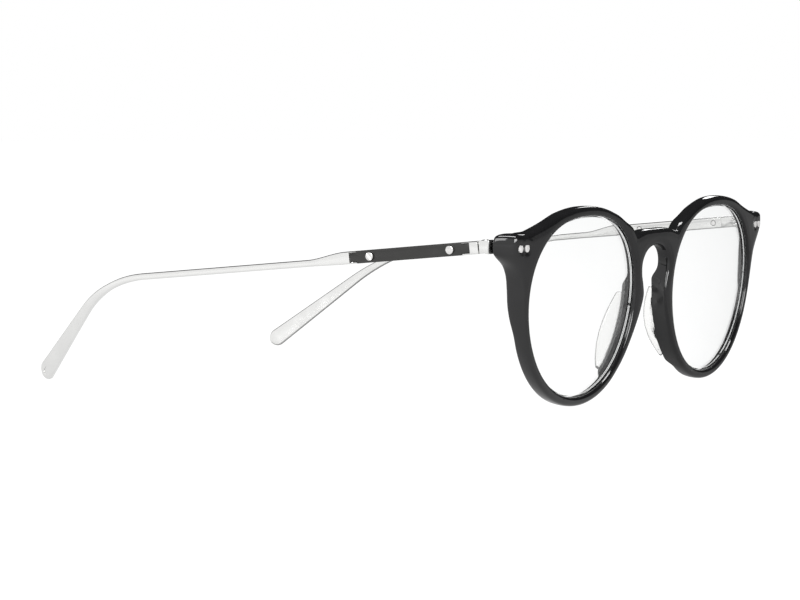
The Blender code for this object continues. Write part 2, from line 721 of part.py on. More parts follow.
def add_temple_leaf(name, side, parent, material):
    """The temple's half of the hinge: a small leaf inside the bar, and the middle knuckle."""
    half = BAR_HEIGHT / 2 - PIN_GAP
    outer = PIN_GAP - BAR_INNER
    start = KNUCKLE_RADIUS + PIN_GAP
    outline = [
        (outer, start), (outer + LEAF_THICKNESS, start),
        (outer + LEAF_THICKNESS, LEAF_LENGTH - LEAF_THICKNESS),
        (outer + LEAF_THICKNESS / 2, LEAF_LENGTH), (outer, LEAF_LENGTH),
    ]
    leaf = add_object(f"temple_leaf_{name}", prism(outline, -half, half, on_axis), side, parent, material)
    web = [(outer + LEAF_THICKNESS, 2 * start), (outer + PIN_GAP, 2 * start), (outer + PIN_GAP, PIN_GAP)]
    web.append((-0.8 * KNUCKLE_RADIUS, -0.6 * KNUCKLE_RADIUS))
    knuckle = prism(knuckle_outline(web), -KNUCKLE_HEIGHT / 2, KNUCKLE_HEIGHT / 2, on_axis)
    boolean(leaf, add_object(f"join_knuckle_{name}", knuckle, side, parent), "UNION")
    bore = disc(HINGE_PIN_RADIUS + PIN_GAP, -CUT_LENGTH, CUT_LENGTH, on_axis)
    boolean(leaf, add_object(f"cut_knuckle_{name}", bore, side, parent), "DIFFERENCE")


# ---------------------------------------------------------------- stance

def points_below(root):
    """World points of every visible piece below the empty."""
    graph = bpy.context.evaluated_depsgraph_get()
    points = []
    for obj in bpy.data.objects:
        if obj.type != "MESH" or obj.hide_render:
            continue
        above = obj.parent
        while above and above != root:
            above = above.parent
        if above == root:
            piece = obj.evaluated_get(graph)
            points += [piece.matrix_world @ vertex.co for vertex in piece.data.vertices]
    return points


def stand(stance, front, swing):
    """Tips the stance until the rims and the tips are level, and sets it centred on Z = 0."""
    front_points = points_below(front)
    tip_points = points_below(swing)
    low, high = 0.0, MOST_TILT
    for _ in range(40):
        tilt = (low + high) / 2
        rims, tips = (
            min(p.y * math.sin(tilt) + p.z * math.cos(tilt) for p in points)
            for points in (front_points, tip_points)
        )
        if tips < rims:
            low = tilt
        else:
            high = tilt
    turned = Matrix.Rotation(tilt, 3, "X")
    points = [turned @ p for p in front_points + tip_points]
    back = max(p.y for p in points)
    face = min(p.y for p in points)
    stance.rotation_euler = (tilt, 0, 0)
    stance.location = (0, -(back + face) / 2, -min(p.z for p in points))


def main():
    clear_scene()
    acetate = make_material("black_acetate", (0.012, 0.012, 0.012), 0.12)
    inlay_acetate = make_material("satin_acetate", (0.02, 0.02, 0.018), 0.35)
    metal = make_material("polished_steel", (0.86, 0.86, 0.85), 0.18, metallic=1.0)
    clear = make_material("clear_lens", (1.0, 1.0, 1.0), 0.02, transmission=1.0)
    pad_clear = make_material("clear_pad", (0.97, 0.97, 0.96), 0.08, transmission=1.0)

    stance = add_empty("stance")
    front = add_empty("front", stance)
    add_front(front, acetate)
    swings = add_empty("swings", stance)
    for name, side in SIDES:
        add_object(f"lens_{name}", lens_mesh(), side, front, clear)
        add_object(f"nose_pad_{name}", pad_mesh(), side, front, pad_clear)
        for number, x in enumerate(RIVET_X, 1):
            add_object(f"rivet_{name}_{number}", rivet_mesh(x), side, front, metal)
        place = (side * HINGE_X, HINGE_Y, HINGE_Z)
        turn = (-TEMPLE_DROP, 0, 0)
        seat = add_empty(f"hinge_seat_{name}", front, place, turn)
        axis = add_empty(f"hinge_axis_{name}", swings, place, turn)
        add_hinge_block(name, side, seat, metal)
        add_hinge_screw(name, side, seat, metal)
        add_temple(name, side, axis, metal, inlay_acetate)
        add_temple_leaf(name, side, axis, metal)
    bpy.context.view_layer.update()
    stand(stance, front, swings)
    bpy.context.view_layer.update()


if __name__ == "__main__":
    main()
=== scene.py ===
"""The finished look of the round eyeglasses: an add-on that models, finishes and stages them."""
import json
import math

import bmesh
import bpy
from mathutils import Matrix, Vector, geometry, kdtree


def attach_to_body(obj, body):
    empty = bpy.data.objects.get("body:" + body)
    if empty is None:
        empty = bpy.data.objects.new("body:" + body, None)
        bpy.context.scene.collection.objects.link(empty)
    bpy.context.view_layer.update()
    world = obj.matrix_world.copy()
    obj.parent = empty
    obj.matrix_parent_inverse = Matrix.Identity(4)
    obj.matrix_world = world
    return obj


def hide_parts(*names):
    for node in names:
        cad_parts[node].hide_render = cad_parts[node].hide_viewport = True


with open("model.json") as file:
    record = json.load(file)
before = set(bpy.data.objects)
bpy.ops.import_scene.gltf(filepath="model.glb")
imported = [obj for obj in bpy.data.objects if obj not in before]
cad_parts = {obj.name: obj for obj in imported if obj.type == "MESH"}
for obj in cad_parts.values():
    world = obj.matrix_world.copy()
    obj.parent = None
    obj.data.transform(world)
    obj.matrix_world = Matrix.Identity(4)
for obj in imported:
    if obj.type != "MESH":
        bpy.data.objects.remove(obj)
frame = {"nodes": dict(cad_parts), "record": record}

bl_info = {
    "name": "Round Eyeglasses",
    "version": (1, 0, 0),
    "blender": (4, 5, 0),
    "location": "3D View > Sidebar > Eyeglasses",
    "description": "Models and finishes round acetate eyeglasses on metal temples",
    "category": "Object",
}

# Clearances.
SEAT_GAP = 0.0003        # between pieces that are glued, riveted or closed on each other
PIN_GAP = 0.00015        # around rivets, screws and knuckles, and along the inlay

# Lens opening: the radius about the opening's centre is a short Fourier series of the angle.
LENS_RADIUS = 0.02248
LENS_LIFT = 0.0005       # raises the outline
LENS_WIDEN = 0.00097     # makes it wider than it is high
LENS_PANTO = 0.00062     # flattens the brow and rounds the cheek
LENS_SQUARE = -0.00025   # fills the corners

# Acetate front.
FRONT_THICKNESS = 0.0036
FRONT_BASE_CURVE = 1.3   # 1/m, the front's bend about Z
BRIDGE_GAP = 0.0204      # between the two openings
RIM_WIDTH = 0.0022
RIM_ANGLES = range(8, 142, 13)  # degrees below the temple side at which it is set
GROOVE_DEPTH = 0.0006
GROOVE_MOUTH = 0.0006    # half width
GROOVE_FLOOR = 0.0004
BRIDGE_TOP = 0.01675
KEYHOLE_TOP = 0.01275
KEYHOLE_HALF = 0.0067    # half width
END_PIECE_REACH = 0.0074 # from the opening to the outer end of the front face
END_PIECE_TOP = 0.0181
END_PIECE_FOOT = 0.0131
END_PIECE_SWEEP = 0.0026 # how far the back of the end piece stands out past its front
END_PIECE_SWEPT = 0.0035 # how much of its length takes part in that
END_PIECE_SWEPT_RISE = (0.0095, 0.0135)  # and the heights between which it begins
END_PIECE_EXTRA = 0.0012 # thickness beyond that of the rims
END_PIECE_BLEND = (0.0072, 0.0052)  # where it thickens, inwards from its outer end
END_PIECE_RISE = (-0.012, 0.003)    # and the heights between which it thickens

# Angle about the opening in degrees, and width of acetate there in millimetres.
BROW_WIDTHS = (
    (139, 3.4), (132, 2.5), (121, 2.1), (102, 2.2), (81, 2.35), (63, 2.6), (50, 3.3), (42, 4.9),
)
CHEEK_WIDTHS = ((17, 4.7), (11, 3.3), (4, 2.6))
NOSE_WIDTHS = ((213, 2.4), (203, 2.8), (193, 3.6), (185, 4.5), (178, 5.1), (172, 4.4), (167.5, 3.8))

# Built-up nose: the back of the nasal rim rises, and its side leans away from the nose.
NOSE_RISE = 0.0014
NOSE_TOP_ANGLE = math.radians(173)
NOSE_FOOT_ANGLE = math.radians(228)
NOSE_BACK_WIDTH = 0.0019
NOSE_BLEND = math.radians(8)

# Clear nose pads.
PAD_REACH = 0.0036
PAD_THICKNESS = 0.0013
PAD_OFFSET = 0.0011      # middle of the pad's root, beyond the opening
PAD_FLARE = math.radians(20)
PAD_TOP_ANGLE = math.radians(177)
PAD_FOOT_ANGLE = math.radians(226)
PAD_SWELL = (0.08, 0.94) # part of a half wave that the pad's reach follows
PAD_SWELL_POWER = 0.75

# Lenses.
LENS_THICKNESS = 0.0015
LENS_BULGE = 0.0011
LENS_EDGE = 0.0003       # how far the tongue at its edge enters the groove
LENS_EDGE_HALF = 0.00012 # half width of the tongue's end
LENS_TONGUE_HALF = 0.0002

# Rivets of the end piece.
RIVET_RADIUS = 0.00082
RIVET_INSETS = (0.0045, 0.0021)   # from the end of the front face
RIVET_Z = 0.0149
RIVET_PROUD = 0.0001
RIVET_DOME = 0.00006
RIVET_SHANK = 0.999      # the shank's radius as a share of the head's

# Hinge: the axis crosses the temple's line at a right angle.
HINGE_INSET = 0.0003     # the axis lies inside the end of the front face
HINGE_BEHIND = 0.0031    # from the back of the acetate to the axis
HINGE_Z = 0.0147
TEMPLE_DROP = math.radians(9.9)
KNUCKLE_HEIGHT = 0.0008
EAR_HEIGHT = 0.0006
HINGE_PIN_RADIUS = 0.00045
HINGE_HEAD_RADIUS = 0.0009
HINGE_HEAD_HEIGHT = 0.0003
HINGE_HEAD_EDGE = 0.75   # share of the head's height at its rim
HINGE_SLOT_TURN = math.radians(20)

# Temples.
TEMPLE_OUTSET = 0.0023   # from the hinge axis out to the middle of the bar
BAR_THICKNESS = 0.0018
BAR_HEIGHT = 0.00295
TAPER_START = 0.0363
TAPER_END = 0.0474
ROD_HEIGHT = 0.0016
ROD_DROP = 0.8           # share of the taper that the upper edge takes, up to 1
ROD_THICKNESS = 0.0013
BEND_START = 0.0978
BEND_RADIUS = 0.046
BEND_ANGLE = math.radians(33.3)
TEMPLE_LENGTH = 0.1545   # along the bar, from the hinge axis to the tip
TOE_IN_START = 0.0888
TOE_IN_LENGTH = 0.034    # over which the bar turns inwards
TOE_IN_SLOPE = 0.335
PADDLE_START = 0.1108
PADDLE_WIDTH = 0.0049
PADDLE_THICKNESS = 0.0010
PADDLE_THINNING = 0.020  # length over which the rod flattens to that thickness
TIP_BLUNT = 0.15         # share of the tip's radius at which its half circle is cut off
TIP_OVAL = (0.0017, 0.0008)
TIP_OVAL_FROM_END = 0.0027
TIP_OVAL_DEPTH = 0.00015

# Inlay on the outer side of each temple, with its two screws.
INLAY_START = 0.0025
INLAY_END = 0.0351
INLAY_TAB = 0.0020
INLAY_TAB_HEIGHT = 0.0021
INLAY_DEPTH = 0.0008
SCREW_PLACES = (0.0075, 0.0294)
SCREW_TURNS = (math.radians(90), math.radians(35))
SCREW_RADIUS = 0.0006
SCREW_HEAD_RADIUS = 0.0010
SCREW_HEAD_HEIGHT = 0.0004
SCREW_HEAD_EDGE = 0.7    # share of the head's height at its rim
SLOT_WIDTH = 0.00028
SLOT_DEPTH = 0.0002

CUT_LENGTH = 0.02        # longer than anything that a cutter passes through

# Fineness of the finished meshes.
WELD = 2e-6              # points this close are one
FASTENER_WELD = 1e-6
FLAT_ANGLE = math.radians(0.6)  # faces that turn less than this become one
OPENING_POINTS = 168
OUTLINE_STEPS = 9        # between two points of the front's outline
ROUNDING_STEPS = 5
CAP_SPACING = 0.00042    # between the points that fill the front's two faces
CAP_ROW = 0.866          # between their rows, as a share of that
CAP_CLEAR = 0.6          # least distance to an edge, as a share of that
CAP_REACH = 0.006        # no point lies further than this from an edge
CAP_PRECISION = 1e-7
CROWN_WIDTH = 0.0012     # from an edge to the full swelling of a face
FACE_CROWN = 0.00012     # how far the acetate's faces swell between their edges
WALL_CROWN = 0.00022     # how far polishing has rounded the outer walls
WALL_STEPS = 6
TURNED_STEPS = 48
LENS_RINGS = 14
LENS_MIDDLE = 0.02       # the innermost ring's share of the lens's radius
PAD_SECTIONS = 44
PAD_ARC_STEPS = 10
PAD_EDGE = 0.00015
BAR_CORNER_STEPS = 4
BAR_MOST_ROUND = 0.45    # of the bar's lesser size
TAPER_STEPS = 16
BEND_STEPS = 90
TIP_STEPS = 14
BEND_LEAD = 0.004        # the fine stations begin this far ahead of the bend
BEVEL_SEGMENTS = 2
BEVEL_ANGLE = 28         # degrees; blunter edges stay as they are
PAD_BEVEL_ANGLE = 40

# Degrees between faces up to which they shade as one surface.
FRONT_SHARP = 50
LENS_SHARP = 30
PAD_SHARP = 50
CUT_SHARP = 35
BAR_SHARP = 40
SOFTENED_SHARP = 42
FASTENER_SHARP = 38

# Half the profile of a fastener's head: shares of its radius, and of the dome above its rim.
HEAD_PROFILE = ((0.0, 1.0), (0.3, 0.91), (0.6, 0.64), (0.82, 0.3), (0.94, 0.0))
HEAD_FLANK = 0.75        # height at which the head reaches its full radius
SLOT_LENGTH = 3.0        # of the cutter, in radii of the head

# Stage: place, aim, size and power of each light; camera place in metres and angles in degrees.
FLOOR_SIZE = 8.0
FLOOR_SHADE = 0.06       # how much of the room's light the glowing floor scatters
FLOOR_LIGHT = 1.1        # its lighter patches against its darker ones
DARK_SIDE = (0.99, -0.1, 0.0)               # reflections from this side are dim
SIDE_RANGE = (-0.6, 0.75, 1.05, 0.27)       # strength against that direction
OVERHEAD = (0.5, 0.0, 1.0)                  # the ceiling darkens this way
OVERHEAD_RANGE = (0.1, 0.5, 1.0, 0.06)      # strength against that direction
NEAR_FLOOR_RANGE = (0.04, 0.3, 0.75, 1.05)  # the floor's strength in reflections, against distance
LIGHTS = {
    "top_softbox": ((0.05, -0.15, 0.75), (0, 0, 0), (0.22, 0.5), 6.0),
    "side_softbox": ((-0.75, -0.2, 0.45), (0, 0, 0.02), (0.5, 0.35), 4.0),
    "edge_softbox": ((1.07, 0.38, 0.47), (0, -0.06, 0.03), (0.11, 0.24), 0.5),
    "front_softbox": ((-0.3, -1.2, 0.3), (0, -0.06, 0.03), (0.5, 0.4), 8.0),
}
CAMERA_PLACE = (-0.51585, -0.34461, 0.06958)
CAMERA_ANGLES = (-56.404, 4.579, -0.603)   # azimuth, elevation, roll
CAMERA_LENS = 106.65

SIDES = (("right", -1), ("left", 1))
SIDE_NAMES = {side: name for name, side in SIDES}
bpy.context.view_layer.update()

# Derived sizes.
TOE_IN_END = TOE_IN_START + TOE_IN_LENGTH
GROOVE_MIDDLE = FRONT_THICKNESS / 2
HINGE_HALF = KNUCKLE_HEIGHT / 2 + PIN_GAP + EAR_HEIGHT
BAR_OUTER = TEMPLE_OUTSET + BAR_THICKNESS / 2
BAR_INNER = TEMPLE_OUTSET - BAR_THICKNESS / 2


# ---------------------------------------------------------------- mesh helpers

def smoothstep(low, high, value):
    t = min(1.0, max(0.0, (value - low) / (high - low)))
    return t * t * (3 - 2 * t)


def bridge_rings(bm, rings):
    for first, second in zip(rings, rings[1:]):
        for i in range(len(first)):
            j = (i + 1) % len(first)
            bm.faces.new((first[i], first[j], second[j], second[i]))


def loft(bm, sections):
    """Bridges a row of rings that have the same number of points, and caps its ends."""
    rings = [[bm.verts.new(point) for point in section] for section in sections]
    bridge_rings(bm, rings)
    bm.faces.new(list(reversed(rings[0])))
    bm.faces.new(rings[-1])


def prism(outline, low, high, place):
    """A bmesh of a flat outline of (u, v) pairs drawn from low to high; place maps (u, v, w)."""
    bm = bmesh.new()
    loft(bm, [[place(u, v, w) for u, v in outline] for w in (low, high)])
    return bm


def ring_points(wide, tall):
    """Points round an ellipse with these half widths, one for each step of a turned piece."""
    turn = 2 * math.pi / TURNED_STEPS
    return [(wide * math.cos(i * turn), tall * math.sin(i * turn)) for i in range(TURNED_STEPS)]


def smooth_outline(points, steps):
    """A closed curve through the points; a point given as (x, z, "corner") stays sharp."""
    count = len(points)
    outline = []
    for i in range(count):
        before, start, end, after = (points[(i + k) % count] for k in (-1, 0, 1, 2))
        p0, p1, p2, p3 = (Vector(p[:2]) for p in (before, start, end, after))
        span = (p2 - p1).length
        out = (p2 - p0) * span / ((p1 - p0).length + span)
        back = (p3 - p1) * span / ((p3 - p2).length + span)
        if len(start) > 2:
            out = p2 - p1
        if len(end) > 2:
            back = p2 - p1
        for k in range(steps):
            t = k / steps
            outline.append(
                p1 * (2 * t**3 - 3 * t**2 + 1) + out * (t**3 - 2 * t**2 + t)
                + p2 * (3 * t**2 - 2 * t**3) + back * (t**3 - t**2)
            )
    return outline


# ---------------------------------------------------------------- the front's shape

def opening_radius(angle):
    """Radius of the lens opening; the angle is 0 at the temple side and grows over the brow."""
    return (
        LENS_RADIUS + LENS_LIFT * math.sin(angle) + LENS_WIDEN * math.cos(2 * angle)
        + LENS_PANTO * math.sin(3 * angle) + LENS_SQUARE * math.cos(4 * angle)
    )


LENS_CENTRE_X = BRIDGE_GAP / 2 + opening_radius(math.pi)
END_PIECE_X = LENS_CENTRE_X + opening_radius(0) + END_PIECE_REACH
RIVET_X = tuple(END_PIECE_X - inset for inset in RIVET_INSETS)
HINGE_X = END_PIECE_X - HINGE_INSET
HINGE_Y = FRONT_BASE_CURVE * HINGE_X**2 / 2 + FRONT_THICKNESS + END_PIECE_EXTRA + HINGE_BEHIND


def around_lens(angle, offset):
    """A point of the right lens outline, moved outwards by the offset."""
    radius = opening_radius(angle) + offset
    return Vector((-LENS_CENTRE_X - radius * math.cos(angle), radius * math.sin(angle)))


def rim_points(widths):
    return [tuple(around_lens(math.radians(degrees), width / 1000)) for degrees, width in widths]


def half_outline():
    """Outer outline of the right half, from the bridge's top over the brow round to the keyhole."""
    bridge = [
        (-0.0060, BRIDGE_TOP - 0.0001), (-0.0096, BRIDGE_TOP - 0.0008),
        (-0.0107, BRIDGE_TOP - 0.0011, "corner"),
    ]
    end_piece = [
        (END_PIECE_X - 0.0050, END_PIECE_TOP), (END_PIECE_X - 0.0018, END_PIECE_TOP),
        (END_PIECE_X - 0.0005, END_PIECE_TOP - 0.0005), (END_PIECE_X, END_PIECE_TOP - 0.0019),
        (END_PIECE_X, END_PIECE_FOOT + 0.0018), (END_PIECE_X - 0.0004, END_PIECE_FOOT),
    ]
    rim = [tuple(around_lens(math.radians(-degrees), RIM_WIDTH)) for degrees in RIM_ANGLES]
    keyhole = [
        (-KEYHOLE_HALF, KEYHOLE_TOP - 0.0040), (-0.80 * KEYHOLE_HALF, KEYHOLE_TOP - 0.0018),
        (-0.46 * KEYHOLE_HALF, KEYHOLE_TOP - 0.0005),
    ]
    return [
        *bridge, *rim_points(BROW_WIDTHS), *((-x, z) for x, z in end_piece), *rim_points(CHEEK_WIDTHS),
        *rim, *rim_points(NOSE_WIDTHS), *keyhole,
    ]


def nose_share(angle, blend_in):
    """1 along the built-up nose and 0 elsewhere."""
    angle %= 2 * math.pi
    rise = smoothstep(NOSE_TOP_ANGLE - NOSE_BLEND, NOSE_TOP_ANGLE + blend_in, angle)
    fall = smoothstep(NOSE_FOOT_ANGLE, NOSE_FOOT_ANGLE + NOSE_BLEND, angle)
    return rise * (1 - fall)


def wrap(x, depth, z):
    """Bends a point of the flat front at this depth behind its face into place."""
    sign = 1 if x > 0 else -1
    across = abs(x) - LENS_CENTRE_X
    angle = math.atan2(z, across)
    reach = math.hypot(z, across)
    nasal = abs(x) < LENS_CENTRE_X
    rise = NOSE_RISE * nose_share(angle, 0) * nasal * (depth / FRONT_THICKNESS) ** 2
    lean = nose_share(angle, NOSE_BLEND) * nasal * depth / FRONT_THICKNESS
    spare = max(0, reach - opening_radius(angle) - NOSE_BACK_WIDTH)
    reach -= spare * lean
    x = sign * (LENS_CENTRE_X + reach * math.cos(angle))
    z = reach * math.sin(angle)
    depth += rise
    swept = smoothstep(END_PIECE_X - END_PIECE_SWEPT, END_PIECE_X, abs(x))
    swept *= smoothstep(*END_PIECE_SWEPT_RISE, z) * depth / FRONT_THICKNESS
    inner, outer = (END_PIECE_X - inset for inset in END_PIECE_BLEND)
    stout = smoothstep(inner, outer, abs(x)) * smoothstep(*END_PIECE_RISE, z)
    y = FRONT_BASE_CURVE * x * x / 2 + depth * (1 + stout * END_PIECE_EXTRA / FRONT_THICKNESS)
    return Vector((x + sign * END_PIECE_SWEEP * swept, y, z))


def inward_normals(outline):
    """Unit normals into the acetate, which is on the left of travel."""
    count = len(outline)
    normals = []
    for i in range(count):
        along = (outline[(i + 1) % count] - outline[i - 1]).normalized()
        normals.append(Vector((-along.y, along.x)))
    return normals


def bar_height(s):
    return BAR_HEIGHT + (ROD_HEIGHT - BAR_HEIGHT) * smoothstep(TAPER_START, TAPER_END, s)


def bar_thickness(s):
    thin = BAR_THICKNESS + (ROD_THICKNESS - BAR_THICKNESS) * smoothstep(TAPER_START, TAPER_END, s)
    paddle = smoothstep(PADDLE_START, PADDLE_START + PADDLE_THINNING, s)
    return thin + (PADDLE_THICKNESS - ROD_THICKNESS) * paddle


def paddle_width(s):
    """Height of the section along the tip, which ends in a half circle."""
    radius = PADDLE_WIDTH / 2
    centre = TEMPLE_LENGTH - radius
    widened = max(0.0, s - PADDLE_START) / (centre - PADDLE_START)
    width = ROD_HEIGHT + (PADDLE_WIDTH - ROD_HEIGHT) * min(1.0, widened)
    if s > centre:
        width = 2 * math.sqrt(max(radius**2 - (s - centre) ** 2, (TIP_BLUNT * radius) ** 2))
    return width


def toe_in(s):
    """How far the bar has moved in towards the head."""
    span = TOE_IN_END - TOE_IN_START
    ramp = min(max(s - TOE_IN_START, 0), span)
    return TOE_IN_SLOPE * (ramp * ramp / (2 * span) + max(s - TOE_IN_END, 0))


def bar_path(s):
    """Middle of the bar in the hinge's frame, and the direction across its height."""
    bend = min(max(s - BEND_START, 0) / BEND_RADIUS, BEND_ANGLE)
    y = min(s, BEND_START) + BEND_RADIUS * math.sin(bend)
    z = -BEND_RADIUS * (1 - math.cos(bend))
    rest = max(s - BEND_START - BEND_RADIUS * BEND_ANGLE, 0)
    y += rest * math.cos(BEND_ANGLE)
    z -= rest * math.sin(BEND_ANGLE)
    up = Vector((0, math.sin(bend), math.cos(bend)))
    return Vector((-TEMPLE_OUTSET + toe_in(s), y, z)), up


# ---------------------------------------------------------------- placing and finishing pieces

JOINTS = {joint["name"]: joint for joint in frame["record"]["behaviour"]["joints"]}
HINGE_TURN = math.atan2(
    -JOINTS["left_temple_hinge"]["axis"][1], JOINTS["left_temple_hinge"]["axis"][2]
)


def hinge_place(side):
    """From the hinge's own frame, whose Z is the axis and whose Y runs along the temple."""
    hinge = JOINTS[f"{SIDE_NAMES[side]}_temple_hinge"]
    return Matrix.Translation(hinge["pos_m"]) @ Matrix.Rotation(HINGE_TURN, 4, "X")


def front_place():
    """From the front's own frame: the hinge axes say how it is tipped and where it stands."""
    turn = Matrix.Rotation(HINGE_TURN + TEMPLE_DROP, 4, "X")
    hinge = Vector((HINGE_X, HINGE_Y, HINGE_Z))
    return Matrix.Translation(Vector(JOINTS["left_temple_hinge"]["pos_m"]) - turn @ hinge) @ turn


def new_object(name, mesh, material=None):
    obj = bpy.data.objects.new(name, mesh)
    bpy.context.scene.collection.objects.link(obj)
    if material:
        mesh.materials.clear()
        mesh.materials.append(material)
    return obj


def mesh_object(name, bm, side, place, material=None):
    """Mirrors a right-hand shape for the left side, places it and turns its faces outwards."""
    if side > 0:
        bmesh.ops.scale(bm, vec=(-1, 1, 1), verts=bm.verts)
    bmesh.ops.transform(bm, matrix=place, verts=bm.verts)
    bmesh.ops.recalc_face_normals(bm, faces=bm.faces)
    if bm.calc_volume(signed=True) < 0:
        bmesh.ops.reverse_faces(bm, faces=bm.faces)
    mesh = bpy.data.meshes.new(name)
    bm.to_mesh(mesh)
    bm.free()
    return new_object(name, mesh, material)


def settle(obj, sharp_degrees):
    """Applies the modifiers to the mesh and shades it smooth up to an angle."""
    graph = bpy.context.evaluated_depsgraph_get()
    mesh = bpy.data.meshes.new_from_object(obj.evaluated_get(graph))
    obj.modifiers.clear()
    obj.data = mesh
    mesh.shade_smooth()
    mesh.set_sharp_from_angle(angle=math.radians(sharp_degrees))
    return obj


def cut_away(obj, cutters):
    for cutter in cutters:
        modifier = obj.modifiers.new(cutter.name, "BOOLEAN")
        modifier.operation = "DIFFERENCE"
        modifier.object = cutter
    settle(obj, CUT_SHARP)
    for cutter in cutters:
        bpy.data.objects.remove(cutter, do_unlink=True)


def round_edges(obj, width, angle=BEVEL_ANGLE):
    modifier = obj.modifiers.new("Edges", "BEVEL")
    modifier.width = width
    modifier.segments = BEVEL_SEGMENTS
    modifier.limit_method = "ANGLE"
    modifier.angle_limit = math.radians(angle)
    modifier.use_clamp_overlap = True
    modifier.miter_outer = "MITER_ARC"


def attach(obj, body, slot, *nodes):
    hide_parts(*nodes)
    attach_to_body(obj, body)


def softened(name, node, width, material):
    """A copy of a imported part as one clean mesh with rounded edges."""
    bm = bmesh.new()
    bm.from_mesh(frame["nodes"][node].data)
    bmesh.ops.remove_doubles(bm, verts=bm.verts, dist=WELD)
    bmesh.ops.dissolve_limit(bm, angle_limit=FLAT_ANGLE, verts=bm.verts, edges=bm.edges)
    mesh = bpy.data.meshes.new(name)
    bm.to_mesh(mesh)
    bm.free()
    obj = new_object(name, mesh, material)
    round_edges(obj, width)
    settle(obj, SOFTENED_SHARP)
    return obj


# ---------------------------------------------------------------- the acetate front

def edge_profile(grooved, face_round, back_round):
    """(inset, depth) pairs down an edge of the front; a positive inset goes into the acetate."""
    turns = [math.pi / 2 * i / ROUNDING_STEPS for i in range(ROUNDING_STEPS + 1)]
    face = [((1 - math.cos(a)) * face_round, (1 - math.sin(a)) * face_round) for a in reversed(turns)]
    groove = [
        (0, GROOVE_MIDDLE - GROOVE_MOUTH), (GROOVE_DEPTH, GROOVE_MIDDLE - GROOVE_FLOOR),
        (GROOVE_DEPTH, GROOVE_MIDDLE + GROOVE_FLOOR), (0, GROOVE_MIDDLE + GROOVE_MOUTH),
    ]
    back = [
        ((1 - math.cos(a)) * back_round, FRONT_THICKNESS - (1 - math.sin(a)) * back_round) for a in turns
    ]
    if grooved:
        return face + groove + back
    start, span = face_round, FRONT_THICKNESS - face_round - back_round
    wall = [(0, start + span * i / (WALL_STEPS + 1)) for i in range(1, WALL_STEPS + 1)]
    return [
        (inset + WALL_CROWN * (2 * depth / FRONT_THICKNESS - 1) ** 2, depth)
        for inset, depth in face + wall + back
    ]


def wall_rings(bm, outline, profile):
    """Builds one edge of the plate and returns its first and last ring with their flat points."""
    normals = inward_normals(outline)
    rings = []
    for inset, depth in profile:
        flats = [point + normal * inset for point, normal in zip(outline, normals)]
        rings.append(([bm.verts.new(wrap(flat.x, depth, flat.y)) for flat in flats], flats))
    bridge_rings(bm, [ring for ring, _ in rings])
    return rings[0], rings[-1]


def in_hole(point, inset):
    """Whether a flat point lies in a rivet's hole or within the inset of a lens opening."""
    across = abs(point.x) - LENS_CENTRE_X
    if math.hypot(across, point.y) < opening_radius(math.atan2(point.y, across)) + inset:
        return True
    radius = RIVET_RADIUS + PIN_GAP
    return any(math.hypot(abs(point.x) - x, point.y - RIVET_Z) < radius for x in RIVET_X)


def fill_cap(bm, rings, depth, swell, inset):
    """Fills a face of the plate between its rings with fine triangles, swollen between the edges."""
    flats = [flat for _, points in rings for flat in points]
    verts = [vert for ring, _ in rings for vert in ring]
    edges = []
    for ring, _ in rings:
        first = len(edges)
        edges += [(first + i, first + (i + 1) % len(ring)) for i in range(len(ring))]
    tree = kdtree.KDTree(len(flats))
    for i, flat in enumerate(flats):
        tree.insert((flat.x, flat.y, 0), i)
    tree.balance()
    low_x, high_x = min(p.x for p in flats), max(p.x for p in flats)
    low_z, high_z = min(p.y for p in flats), max(p.y for p in flats)
    step = CAP_SPACING
    inner = []
    for row in range(int((high_z - low_z) / (step * CAP_ROW)) + 1):
        z = low_z + row * step * CAP_ROW
        for column in range(int((high_x - low_x) / step) + 1):
            x = low_x + (column + 0.5 * (row % 2)) * step
            if CAP_CLEAR * step < tree.find((x, z, 0))[2] < CAP_REACH:
                inner.append(Vector((x, z)))
    points = flats + inner
    found, _, faces, origins, _, _ = geometry.delaunay_2d_cdt(points, edges, [], 2, CAP_PRECISION)
    own = []
    for point, origin in zip(found, origins):
        kept = [index for index in origin if index < len(verts)]
        if kept:
            own.append(verts[kept[0]])
            continue
        distance = tree.find((point.x, point.y, 0))[2]
        lift = swell * smoothstep(0, CROWN_WIDTH, distance)
        own.append(bm.verts.new(wrap(point.x, depth - lift, point.y)))
    for face in faces:
        corners = [own[i] for i in face]
        middle = sum((found[i] for i in face), Vector((0, 0))) / len(face)
        if len(set(corners)) > 2 and not in_hole(middle, inset):
            bm.faces.new(corners)
    loose = [vert for vert in bm.verts if not vert.link_faces]
    bmesh.ops.delete(bm, geom=loose, context="VERTS")


def front_mesh(sizes):
    """The front as one plate with rounded edges, lens grooves and rivet holes."""
    turn = 2 * math.pi / OPENING_POINTS
    right = [around_lens(i * turn, 0) for i in range(OPENING_POINTS)]
    left = [Vector((-point.x, point.y)) for point in reversed(right)]
    outer = front_outline()
    bm = bmesh.new()
    rounds = sizes.face_round, sizes.back_round
    walls = [(outer, edge_profile(False, *rounds))]
    walls += [(outline, edge_profile(True, *rounds)) for outline in (right, left)]
    radius = RIVET_RADIUS + PIN_GAP
    for x in [side * x for _, side in SIDES for x in RIVET_X]:
        hole = [Vector((x + u, RIVET_Z + v)) for u, v in ring_points(radius, -radius)]
        walls.append((hole, [(0, 0), (0, FRONT_THICKNESS)]))
    ends = [wall_rings(bm, outline, profile) for outline, profile in walls]
    fill_cap(bm, [first for first, _ in ends], 0, FACE_CROWN, sizes.face_round)
    fill_cap(bm, [last for _, last in ends], FRONT_THICKNESS, -FACE_CROWN, sizes.back_round)
    return bm


